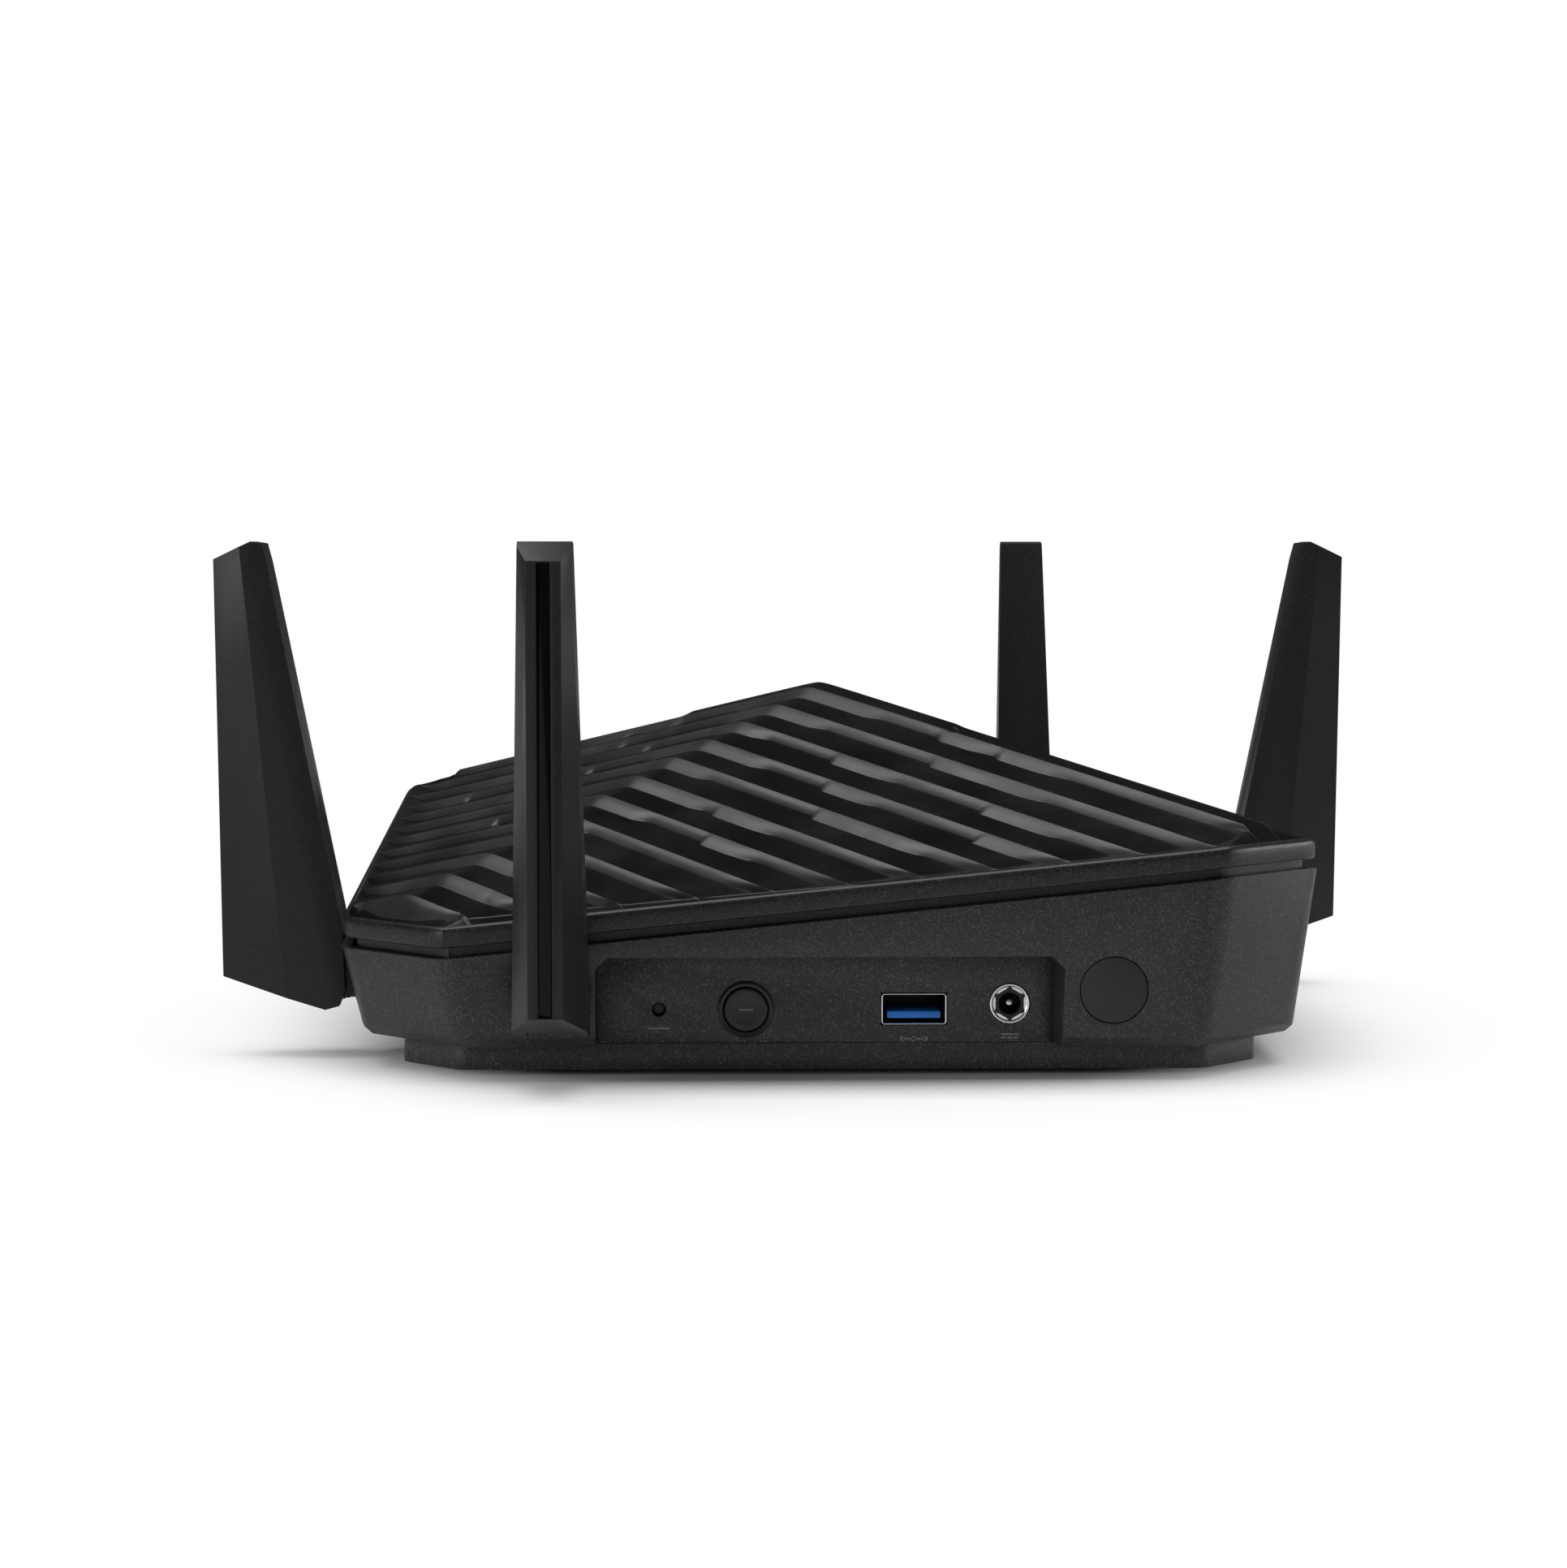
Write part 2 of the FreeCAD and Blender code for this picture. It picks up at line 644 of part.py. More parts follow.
def make_board_parts():
    """Shield cans, thermal pad and finned heat sink that sit on the board."""
    top = "Sizes.board_low + Sizes.board_thick"
    side = "Sizes.can_main_side"
    keep(block("can_main", side, side, "Sizes.can_rise", "Sizes.can_main_x", "Sizes.can_main_y", top),
         "shield_can_main")
    keep(block("can_radio", "Sizes.can_radio_width", "Sizes.can_radio_depth", "Sizes.can_rise",
               "Sizes.can_radio_x", "Sizes.can_radio_y", top), "shield_can_radio")
    over_can = top + " + Sizes.can_rise"
    keep(block("pad", "Sizes.pad_side", "Sizes.pad_side", "Sizes.pad_rise", "Sizes.pad_x", "Sizes.pad_y",
               over_can), "thermal_pad")
    over_pad = over_can + " + Sizes.pad_rise"
    base = block("sink_base", "Sizes.sink_side", "Sizes.sink_side", "Sizes.sink_base", "Sizes.sink_x",
                 "Sizes.sink_y", over_pad)
    fins = []
    for number in range(int(size("fin_count"))):
        spot = "Sizes.sink_x + 0.8 + %d * Sizes.fin_pitch" % number
        fins.append(block("fin_%02d" % number, "Sizes.fin_thick", "Sizes.sink_side", "Sizes.fin_rise", spot,
                          "Sizes.sink_y", over_pad + " + Sizes.sink_base - 0.6"))
    keep(fused("sink", [base] + fins), "heat_sink")


def make_port_panel():
    """The front port panel with holes for reset, pairing button, USB port and power jack."""
    plate = panel_plate(size("fit_gap"), size("panel_thick"))
    axis = Vector(0, 1, 0)

    def hole(radius, place, height):
        """A round hole through the panel."""
        return Part.makeCylinder(radius, 12, Vector(place, -size("plate_half") - 5, height), axis)

    collar = hole(size("button_collar"), size("button_place"), size("port_height"))
    collar = collar.common(
        Part.makeBox(200, size("collar_depth"), 60, Vector(-100, -size("plate_half") - 0.6, 0)))
    plate = plate.fuse(collar)
    for name in ("button", "reset"):
        radius = size(name + "_radius") + size("key_gap")
        plate = plate.cut(hole(radius, size(name + "_place"), size("port_height")))
    plate = plate.cut(hole(size("jack_radius") + 0.1, size("jack_place"), size("jack_height")))
    width, rise = size("usb_width") + 0.2, size("usb_rise") + 0.2
    slot = Part.makeBox(width, 12, rise, Vector(
        size("usb_place") - width / 2, -size("plate_half") - 5, size("port_height") - rise / 2))
    plate = plate.cut(slot)
    return feature("port_panel", plate)


def socket_centres():
    """The places along the left side of the five network sockets."""
    gang = [size("gang_place") + (number - 1.5) * size("socket_pitch") for number in range(4)]
    return [size("wan_place")] + gang


def make_network_side():
    """The left panel and its network sockets: one apart and four side by side."""
    plate = mirrored_to_left(panel_plate(size("fit_gap"), size("panel_thick")))
    board_top = size("board_low") + size("board_thick")
    rise, depth = size("socket_rise"), size("socket_depth")
    face = -size("plate_half") - size("fit_gap")
    half = size("socket_pitch") / 2 - size("fit_gap")
    centres = socket_centres()
    labels = ["wan_socket"] + ["lan_socket_%d" % number for number in range(1, len(centres))]
    reach = size("socket_mouth_depth") + 1
    for label, place in zip(labels, centres):
        body = Part.makeBox(depth, 2 * half, rise, Vector(face, place - half, board_top))
        start = place - size("socket_mouth_width") / 2
        mouth_corner = Vector(face - 1, start, board_top + size("socket_lift"))
        mouth = Part.makeBox(reach, size("socket_mouth_width"), size("socket_mouth_rise"), mouth_corner)
        latch_corner = Vector(face - 1, place - size("latch_width") / 2, board_top + size("latch_lift"))
        latch = Part.makeBox(reach, size("latch_width"), size("latch_rise"), latch_corner)
        feature(label, body.cut(mouth.fuse(latch)))
    for group in (centres[:1], centres[1:]):
        corner = Vector(face - 5, group[0] - half - 0.1, board_top - 0.1)
        length = group[-1] - group[0] + 2 * half + 0.2
        plate = plate.cut(Part.makeBox(10, length, rise + 0.2, corner))
    feature("network_panel", plate)


def make_usb_port():
    """A steel shell with a folded back and the contact tongue inside it."""
    x, depth = "Sizes.usb_place - Sizes.usb_width / 2", "Sizes.usb_depth"
    low = "Sizes.port_height - Sizes.usb_rise / 2"
    front = "-Sizes.plate_half - 0.25"
    outer = block("usb_outer", "Sizes.usb_width", depth, "Sizes.usb_rise", x, front, low)
    inner = block(
        "usb_inner", "Sizes.usb_width - 2 * Sizes.usb_wall", depth, "Sizes.usb_rise - 2 * Sizes.usb_wall",
        x + " + Sizes.usb_wall", front + " - 0.5", low + " + Sizes.usb_wall")
    keep(boolean("Cut", "usb_can", outer, inner), "usb_shell")
    blade = block(
        "usb_blade", "Sizes.tongue_width", "12", "Sizes.tongue_rise",
        "Sizes.usb_place - Sizes.tongue_width / 2", front + " + 1.0", "Sizes.port_height - 1.3")
    heel = block(
        "usb_heel", "Sizes.usb_width - 2 * Sizes.usb_wall - 2 * Sizes.fit_gap", "4",
        "Sizes.usb_rise - 2 * Sizes.usb_wall - 2 * Sizes.fit_gap", x + " + Sizes.usb_wall + Sizes.fit_gap",
        front + " + 12.8", low + " + Sizes.usb_wall + Sizes.fit_gap")
    keep(fused("usb_insert", [blade, heel]), "usb_tongue")


def make_power_jack():
    """The power jack: a black body behind the panel, a bright ring, a toothed insert and a pin."""
    axis = Vector(0, 1, 0)
    front = "-Sizes.plate_half - 0.3"
    x, z = "Sizes.jack_place", "Sizes.jack_height"
    ring = rod("jack_ring_outer", "Sizes.jack_radius", "3.0", x, front, z, axis)
    hollow = rod("jack_ring_inner", "Sizes.jack_bore + 0.5", "4.0", x, front + " - 0.5", z, axis)
    keep(boolean("Cut", "jack_ring", ring, hollow), "jack_ring")
    shell = block(
        "jack_box", "Sizes.jack_box_side", "Sizes.jack_box_side", "Sizes.jack_box_rise",
        x + " - Sizes.jack_box_side / 2", front + " + 3.0", "Sizes.board_low + Sizes.board_thick")
    sleeve = rod("jack_sleeve", "Sizes.jack_bore + 0.48", "3.6", x, front + " + 0.35", z, axis)
    bore = rod("jack_hole", "Sizes.jack_bore", "9.5", x, front + " - 0.5", z, axis)
    keep(boolean("Cut", "jack_insert", fused("jack_solid", [shell, sleeve]), bore), "jack_body")
    keep(rod("jack_rod", "Sizes.jack_pin", "8.0", x, front + " + 1.0", z, axis), "jack_pin")


def make_buttons():
    """The pairing button and the reset plunger, with the switch that each one presses."""
    axis = Vector(0, 1, 0)
    z = "Sizes.port_height"
    face = "-Sizes.plate_half - 0.9"
    cap = rod("pair_cap", "Sizes.button_radius", "3.2", "Sizes.button_place", face, z, axis)
    stem = rod("pair_stem", "Sizes.stem_radius", "4.2", "Sizes.button_place", face + " + 3.0", z, axis)
    keep(fused("pair_key", [cap, stem]), "pairing_button")
    rest = "-Sizes.plate_half + 1.2"
    keep(rod("reset_rod", "Sizes.reset_radius", "4.6", "Sizes.reset_place", rest, z, axis), "reset_plunger")
    top = "Sizes.board_low + Sizes.board_thick"
    places = {
        "pairing": ("button_place", face + " + 8.1"),
        "reset": ("reset_place", "-Sizes.plate_half + 6.4"),
    }
    side = "Sizes.switch_side"
    for name, (place, start) in places.items():
        left = "Sizes." + place + " - Sizes.switch_side / 2"
        keep(block(name + "_case", side, "Sizes.switch_depth", side, left, start, top), name + "_switch")


def make_blanking_caps():
    """Round caps, flush with the wall, in the two antenna sockets left unused."""
    skin = tapered(0.12, 0, 60)
    for side, sign in SOCKETS[len(SIDES):]:
        start = size("boss_start")
        plug = mount_axis(side, start - 1.4, size("bore_end"), size("cap_radius"), sign).common(skin)
        ring = mount_axis(side, start - 2.6, start - 0.1, size("nut_radius"), sign)
        feature("blank_cap_" + side, plug.fuse(ring))


def blade_blank():
    """The antenna's outer form, made for the front side with its middle on X = 0."""
    front_high, front_low = size("blade_front_high"), size("blade_front_low")
    top_outer, top_inner = size("blade_top_outer"), size("blade_top_inner")
    flat = size("blade_flat_half")

    def section(level, front, crease, back, crease_half, back_half):
        """A six-sided section at one height: flat front, two creases and a flat back."""
        half = [(front, flat), (crease, crease_half), (back, back_half)]
        points = [Vector(w, -o, level) for o, w in half]
        points += [Vector(-w, -o, level) for o, w in reversed(half)]
        return Part.makePolygon(points + points[:1])

    upper = section(
        top_inner + 0.4, front_high, size("blade_crease_out_high"), size("blade_back_out_high"),
        size("blade_crease_high"), size("blade_back_high"))
    lower = section(
        size("blade_low_inner") - 0.4, front_low - 0.1, size("blade_crease_out_low"),
        size("blade_back_out_low"), size("blade_crease_low"), size("blade_back_low"))
    bar = Part.makeLoft([lower, upper], True, True)
    outline = [
        (front_high + 0.2, top_outer), (size("blade_shoulder_out"), top_inner),
        (size("blade_tip_out"), top_inner - 0.4), (size("blade_neck_out"), top_inner - 4.2),
        (size("blade_back_out"), 27.0), (size("blade_heel_out"), 14.6),
        (size("blade_toe_out"), 11.2), (size("blade_foot_out"), size("blade_low_inner")),
        (front_low + 0.1, size("blade_low_outer")),
    ]
    points = [Vector(-12, -o, level) for o, level in outline]
    profile = Part.Face(Part.makePolygon(points + points[:1])).extrude(Vector(24, 0, 0))
    return bar.common(profile)


def blade_parts():
    """The blade with its hinge slot and cavity, the front strip and the antenna element."""
    pivot = Vector(0, -size("hinge_reach"), size("pivot_height"))
    blade = blade_blank()
    corner = Vector(-size("slot_half"), -size("hinge_reach") - 6.9, 5)
    slot = Part.makeBox(2 * size("slot_half"), 16, 22.2, corner)
    blade = blade.cut(slot)
    pin_line = Part.makeCylinder(size("hinge_pin") + size("fit_gap"), 2 * size("hinge_pin_half"),
                                 pivot - Vector(size("hinge_pin_half"), 0, 0), Vector(1, 0, 0))
    blade = blade.cut(pin_line)
    low, high = size("strip_low"), size("strip_high")
    corner = Vector(-size("strip_half"), -140, low)
    groove = Part.makeBox(2 * size("strip_half"), 14, high - low, corner)
    shift = size("blade_front_low") - size("strip_sink") - size("strip_depth")
    groove = groove.cut(Part.makeBox(10, 30, 200, Vector(-5, -shift, 0)))
    room = Part.makeBox(2.2, 7.5, 66, Vector(-1.1, -shift - 0.5, 33))
    blade = blade.cut(groove).cut(room)
    strip = Part.makeBox(2 * size("strip_half") - 0.04, size("strip_depth"), high - low - 0.04,
                         Vector(-size("strip_half") + 0.02, -shift - size("strip_depth"), low + 0.02))
    element = Part.makeBox(0.8, 5.5, 62, Vector(-0.4, -shift + 0.4, 35))
    pin = Part.makeCylinder(size("hinge_pin"), 2 * size("hinge_pin_half") - 0.2,
                            pivot - Vector(size("hinge_pin_half") - 0.1, 0, 0), Vector(1, 0, 0))
    return {"blade": blade, "strip": strip, "element": element, "hinge_pin": pin}


def swivel_parts():
    """The swivel: a hollow shaft through the wall with the hinge arm, and the nut that holds it."""
    height = size("pivot_height")
    out = Vector(0, -1, 0)

    def along(radius, start, end):
        """A cylinder about the swivel axis."""
        return Part.makeCylinder(radius, end - start, Vector(0, -start, height), out)

    shaft = along(size("shaft_radius"), size("shaft_start"), size("shaft_end"))
    shaft = shaft.fuse(along(size("spigot_radius"), size("spigot_start"), size("shaft_start")))
    half, radius = size("arm_half"), size("arm_radius")
    reach = size("hinge_reach")
    corner = Vector(-half, -reach, height - radius)
    arm = Part.makeBox(2 * half, reach - size("shaft_end"), 2 * radius, corner)
    start, end = size("shaft_end"), size("rim_half") + 0.1
    arm = arm.cut(along(2 * radius, start, end).cut(along(size("shaft_radius"), start, end)))
    tip = Part.makeCylinder(radius, 2 * half, Vector(-half, -reach, height), Vector(1, 0, 0))
    bore = size("hinge_pin") + size("fit_gap")
    pin_hole = Part.makeCylinder(bore, 40, Vector(-20, -reach, height), Vector(1, 0, 0))
    lead_hole = along(size("lead_bore"), size("bore_start"), size("shaft_end") + 2)
    knuckle = shaft.fuse(arm).fuse(tip).cut(pin_hole).cut(lead_hole)
    nut = along(size("nut_radius"), size("spigot_start") + 0.2, size("shaft_start") - size("fit_gap"))
    nut = nut.cut(along(size("spigot_radius") + 0.02, 80, 100))
    return {"swivel": knuckle, "swivel_nut": nut}


def lead_shape():
    """A coax lead: out of the swivel's bore, round one bend and down to its plug on the board."""
    height, turn = size("pivot_height"), size("lead_turn")
    top = size("board_low") + size("board_thick")
    radius = size("lead_radius")
    inner, end = size("lead_inner"), size("lead_end")
    run = Part.LineSegment(Vector(0, -end, height), Vector(0, -inner - turn, height)).toShape()
    middle = Vector(0, -inner - turn * (1 - ROOT_HALF), height - turn * (1 - ROOT_HALF))
    bend = Part.Arc(Vector(0, -inner - turn, height), middle, Vector(0, -inner, height - turn)).toShape()
    fall = Part.LineSegment(Vector(0, -inner, height - turn), Vector(0, -inner, top + 1.2)).toShape()
    circle = Part.Wire(Part.makeCircle(radius, Vector(0, -end, height), Vector(0, 1, 0)))
    tube = Part.Wire([run, bend, fall]).makePipeShell([circle], True, False)
    plug = Part.makeCylinder(size("lead_plug"), size("lead_plug_rise"), Vector(0, -inner, top))
    return tube.fuse(plug)


def make_antennas():
    """All the pieces of the four antennas, moved from the middle of the front side to their places."""
    shapes = {}
    shapes.update(swivel_parts())
    shapes.update(blade_parts())
    shapes["antenna_lead"] = lead_shape()
    for side, sign in ANTENNA_PLACE.items():
        for name, shape in shapes.items():
            moved = shape.copy()
            moved.translate(Vector(sign * size("mount_offset"), 0, 0))
            feature("%s_%s" % (name, side), around(moved, side))


make_housing()
make_cover()
make_bottom_plate()
make_feet_and_screws()
make_board()
make_board_parts()
make_port_panel()
make_network_side()
make_usb_port()
make_power_jack()
make_buttons()
make_blanking_caps()
make_antennas()
doc.recompute()

for item in doc.Objects:
    if "Invalid" in item.State or "Error" in item.State:
        raise RuntimeError("failed object: " + item.Name)
os.makedirs("parts", exist_ok=True)
for item in pieces:
    if item.Shape.isNull() or not item.Shape.isValid():
        raise RuntimeError("bad shape: " + item.Label)
    item.Shape.exportStep("parts/" + item.Label + ".step")
    box = item.Shape.BoundBox
    print("%-24s %d solids %9.1f mm3  x %.1f..%.1f y %.1f..%.1f z %.1f..%.1f" % (
        item.Label, len(item.Shape.Solids), item.Shape.Volume,
        box.XMin, box.XMax, box.YMin, box.YMax, box.ZMin, box.ZMax))
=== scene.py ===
"""Looks for a wireless router: a ribbed cover, fine port details, soft edges and moulded plastics.

Everything is in metres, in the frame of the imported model: the origin is on the table under the middle of the
body, +X is right, +Y is away from the port side and +Z is up.
"""

import logging
import math
from dataclasses import dataclass
from enum import Enum
from typing import Callable, Iterable, Sequence, Union

import bmesh
import bpy
from mathutils import Matrix, Vector


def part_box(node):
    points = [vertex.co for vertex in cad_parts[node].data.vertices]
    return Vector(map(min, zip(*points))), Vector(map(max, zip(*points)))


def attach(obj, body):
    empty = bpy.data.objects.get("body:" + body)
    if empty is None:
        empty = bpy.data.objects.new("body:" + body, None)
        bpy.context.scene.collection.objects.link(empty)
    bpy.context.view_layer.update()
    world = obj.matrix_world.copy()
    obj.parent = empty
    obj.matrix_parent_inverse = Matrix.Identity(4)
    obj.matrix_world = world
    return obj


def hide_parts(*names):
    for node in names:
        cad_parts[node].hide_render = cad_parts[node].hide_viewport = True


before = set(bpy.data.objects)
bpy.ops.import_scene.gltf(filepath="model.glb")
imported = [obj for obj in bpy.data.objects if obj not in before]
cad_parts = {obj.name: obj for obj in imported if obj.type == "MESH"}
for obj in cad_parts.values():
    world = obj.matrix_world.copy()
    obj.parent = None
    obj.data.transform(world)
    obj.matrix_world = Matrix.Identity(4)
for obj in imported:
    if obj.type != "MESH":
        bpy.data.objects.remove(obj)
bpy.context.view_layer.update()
MM = 0.001
ROOT_HALF = math.sqrt(0.5)
LOG = logging.getLogger("router")


class Side(Enum):
    """The four sides that carry an antenna, with the turn from the front side in degrees."""

    FRONT = 0
    RIGHT = 90
    REAR = 180
    LEFT = -90

    @property
    def label(self) -> str:
        """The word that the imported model's names end with."""
        return self.name.lower()


# -----------------------------------------------------------------------------
# Shader building
# -----------------------------------------------------------------------------

Value = Union["Wire", float, int]
WHITE = (1.0, 1.0, 1.0, 1.0)


class Wire:
    """An output socket that does arithmetic by adding math nodes."""

    def __init__(self, graph: "Graph", socket: bpy.types.NodeSocket) -> None:
        """Args:
            graph: the graph that the socket belongs to.
            socket: the output socket.
        """
        self.graph = graph
        self.socket = socket

    def _math(self, operation: str, first: Value, second: Value) -> "Wire":
        """Returns: a math node's output for two values."""
        return self.graph.add("ShaderNodeMath", {0: first, 1: second}, operation=operation)

    def __add__(self, other: Value) -> "Wire":
        return self._math("ADD", self, other)

    def __radd__(self, other: Value) -> "Wire":
        return self._math("ADD", other, self)

    def __sub__(self, other: Value) -> "Wire":
        return self._math("SUBTRACT", self, other)

    def __rsub__(self, other: Value) -> "Wire":
        return self._math("SUBTRACT", other, self)

    def __mul__(self, other: Value) -> "Wire":
        return self._math("MULTIPLY", self, other)

    def __rmul__(self, other: Value) -> "Wire":
        return self._math("MULTIPLY", other, self)

    def __truediv__(self, other: Value) -> "Wire":
        return self._math("DIVIDE", self, other)

    def __rtruediv__(self, other: Value) -> "Wire":
        return self._math("DIVIDE", other, self)


class Graph:
    """A material's or world's node tree with short ways to add nodes."""

    def __init__(self, tree: bpy.types.NodeTree) -> None:
        """Args:
            tree: the node tree, which is emptied.
        """
        self.tree = tree
        tree.nodes.clear()

    def add(self, kind: str, inputs: dict, output: Union[int, str] = 0, **settings: object) -> Wire:
        """Adds one node.

        Args:
            kind: the node's type.
            inputs: values or wires for its inputs, by name or number.
            output: which output to return.
            settings: properties of the node.

        Returns: the chosen output.
        """
        node = self.tree.nodes.new(kind)
        for key, value in settings.items():
            setattr(node, key, value)
        for key, value in inputs.items():
            if isinstance(value, Wire):
                self.tree.links.new(value.socket, node.inputs[key])
            else:
                node.inputs[key].default_value = value
        return Wire(self, node.outputs[output])

    def place(self) -> Wire:
        """Returns: the object coordinates, which are the model's own frame."""
        return self.add("ShaderNodeTexCoord", {}, "Object")

    def noise(self, size: float, detail: float = 2.0, roughness: float = 0.5, where: Wire = None) -> Wire:
        """Args:
            size: the size of one feature in metres.
            detail: how many finer layers are added.
            roughness: how strong the finer layers are.
            where: coordinates, or None for the object's.

        Returns: noise from 0 to 1.
        """
        where = where or self.place()
        inputs = {"Vector": where, "Scale": 1.0 / size, "Detail": detail, "Roughness": roughness}
        return self.add("ShaderNodeTexNoise", inputs, "Fac")

    def ramp(self, value: Wire, low: float, high: float, start: float = 0.0, end: float = 1.0) -> Wire:
        """Returns: a smooth step of value between low and high, from start to end."""
        inputs = {"Value": value, "From Min": low, "From Max": high, "To Min": start, "To Max": end}
        return self.add("ShaderNodeMapRange", inputs, "Result", interpolation_type="SMOOTHSTEP")

    def colour(self, factor: Value, first: Sequence[float], second: Sequence[float]) -> Wire:
        """Returns: a mix of two colours."""
        node = self.tree.nodes.new("ShaderNodeMix")
        node.data_type = "RGBA"
        if isinstance(factor, Wire):
            self.tree.links.new(factor.socket, node.inputs[0])
        else:
            node.inputs[0].default_value = factor
        for index, paint in ((6, first), (7, second)):
            if isinstance(paint, Wire):
                self.tree.links.new(paint.socket, node.inputs[index])
            else:
                node.inputs[index].default_value = (*paint, 1.0)
        return Wire(self, node.outputs[2])

    def bump(self, height: Wire, distance: float, strength: float = 1.0) -> Wire:
        """Returns: a normal bent by a height of at most distance metres."""
        inputs = {"Height": height, "Distance": distance, "Strength": strength}
        return self.add("ShaderNodeBump", inputs, "Normal")


def new_surface(name: str, sockets: Callable[[Graph], dict], **constants: float) -> bpy.types.Material:
    """Makes a material with one Principled shader.

    Args:
        name: the material's name.
        sockets: builds the varying inputs from the graph.
        constants: inputs that are the same everywhere, with _ for spaces.

    Returns: the material.
    """
    material = bpy.data.materials.new(name)
    material.use_nodes = True
    graph = Graph(material.node_tree)
    inputs = {key.replace("_", " "): value for key, value in constants.items()}
    inputs.update(sockets(graph))
    shader = graph.add("ShaderNodeBsdfPrincipled", inputs, "BSDF")
    _finish(graph, shader)
    return material


def _finish(graph: Graph, shader: Wire) -> None:
    """Links a shader to a new material output."""
    output = graph.tree.nodes.new("ShaderNodeOutputMaterial")
    graph.tree.links.new(shader.socket, output.inputs["Surface"])


@dataclass(frozen=True)
class MouldedPlastic:
    """A matte moulded plastic with a fine eroded grain and, if asked, faint light specks."""

    name: str
    dark: tuple[float, float, float]
    light: tuple[float, float, float]
    roughness: float = 0.5
    grain: float = 0.45 * MM
    relief: float = 0.03 * MM
    specks: float = 0.0
    sheen_level: float = 0.5

    def build(self) -> bpy.types.Material:
        """Returns: the material."""

        def sockets(graph: Graph) -> dict:
            place = graph.place()
            cloud = graph.noise(45 * MM, 3.0, 0.55, place)
            fine = graph.noise(self.grain, 2.5, 0.6, place)
            grit = graph.noise(self.grain * 0.35, 1.0, 0.5, place)
            tone = graph.ramp(fine * 0.75 + cloud * 0.25, 0.34, 0.66)
            paint = graph.colour(tone, self.dark, self.light)
            if self.specks > 0:
                cells = {"Vector": place, "Scale": 1.0 / (0.36 * MM)}
                spread = graph.add("ShaderNodeTexVoronoi", cells, "Distance")
                tint = graph.add("ShaderNodeTexVoronoi", cells, "Color")
                chance = graph.add("ShaderNodeSeparateColor", {0: tint}, 0)
                spot = graph.ramp(chance, 0.50, 0.98) * graph.ramp(spread, 0.65, 0.25)
                bright = tuple(channel * 2.5 + 0.05 for channel in self.light)
                paint = graph.colour(spot * self.specks, paint, bright)
            rough = graph.ramp(fine * 0.5 + cloud * 0.5, 0.2, 0.8,
                               self.roughness - 0.06, self.roughness + 0.06)
            height = fine * 0.7 + grit * 0.3
            return {"Base Color": paint, "Roughness": rough, "Normal": graph.bump(height, self.relief)}

        return new_surface(self.name, sockets, Specular_IOR_Level=self.sheen_level)


@dataclass(frozen=True)
class PolishedPlastic:
    """A glossy plastic with a faint orange-peel relief and cloudy roughness from handling."""

    name: str
    paint: tuple[float, float, float]
    roughness: float = 0.12
    level: float = 0.5
    relief: float = 0.004 * MM

    def build(self) -> bpy.types.Material:
        """Returns: the material."""

        def sockets(graph: Graph) -> dict:
            place = graph.place()
            smear = graph.noise(22 * MM, 4.0, 0.6, place)
            peel = graph.noise(1.6 * MM, 2.0, 0.5, place)
            lift = tuple(channel * 1.5 + 0.001 for channel in self.paint)
            return {
                "Base Color": graph.colour(graph.ramp(smear, 0.35, 0.75), self.paint, lift),
                "Roughness": graph.ramp(smear, 0.3, 0.75, self.roughness * 0.8, self.roughness * 1.35),
                "Normal": graph.bump(peel, self.relief),
            }

        return new_surface(self.name, sockets, Specular_IOR_Level=self.level)


@dataclass(frozen=True)
class PlainMetal:
    """A metal with fine directionless brushing."""

    name: str
    paint: tuple[float, float, float]
    roughness: float = 0.3
    grain: float = 0.3 * MM

    def build(self) -> bpy.types.Material:
        """Returns: the material."""

        def sockets(graph: Graph) -> dict:
            place = graph.place()
            fine = graph.noise(self.grain, 2.0, 0.6, place)
            cloud = graph.noise(9 * MM, 3.0, 0.5, place)
            dim = tuple(channel * 0.8 for channel in self.paint)
            return {
                "Base Color": graph.colour(cloud, dim, self.paint),
                "Roughness": graph.ramp(fine, 0.2, 0.8, self.roughness * 0.75, self.roughness * 1.3),
                "Normal": graph.bump(fine, 0.004 * MM),
            }

        return new_surface(self.name, sockets, Metallic=1.0)


@dataclass(frozen=True)
class CircuitBoard:
    """Solder mask over copper tracks, with bare pads."""

    name: str
    mask: tuple[float, float, float] = (0.004, 0.045, 0.022)

    def build(self) -> bpy.types.Material:
        """Returns: the material."""

        def sockets(graph: Graph) -> dict:
            place = graph.place()
            cells = {"Vector": place, "Scale": 1.0 / (5 * MM)}
            tracks = graph.add("ShaderNodeTexVoronoi", cells, "Distance", distance="CHEBYCHEV")
            lines = graph.ramp(tracks, 0.30, 0.34) * graph.ramp(tracks, 0.44, 0.40)
            pads = graph.ramp(tracks, 0.09, 0.06)
            copper = tuple(channel * 1.8 + 0.01 for channel in self.mask)
            paint = graph.colour(pads, graph.colour(lines, self.mask, copper), (0.55, 0.42, 0.16))
            return {
                "Base Color": paint,
                "Roughness": graph.ramp(pads, 0.0, 1.0, 0.32, 0.4),
                "Normal": graph.bump(lines + pads, 0.02 * MM),
            }

        return new_surface(self.name, sockets)


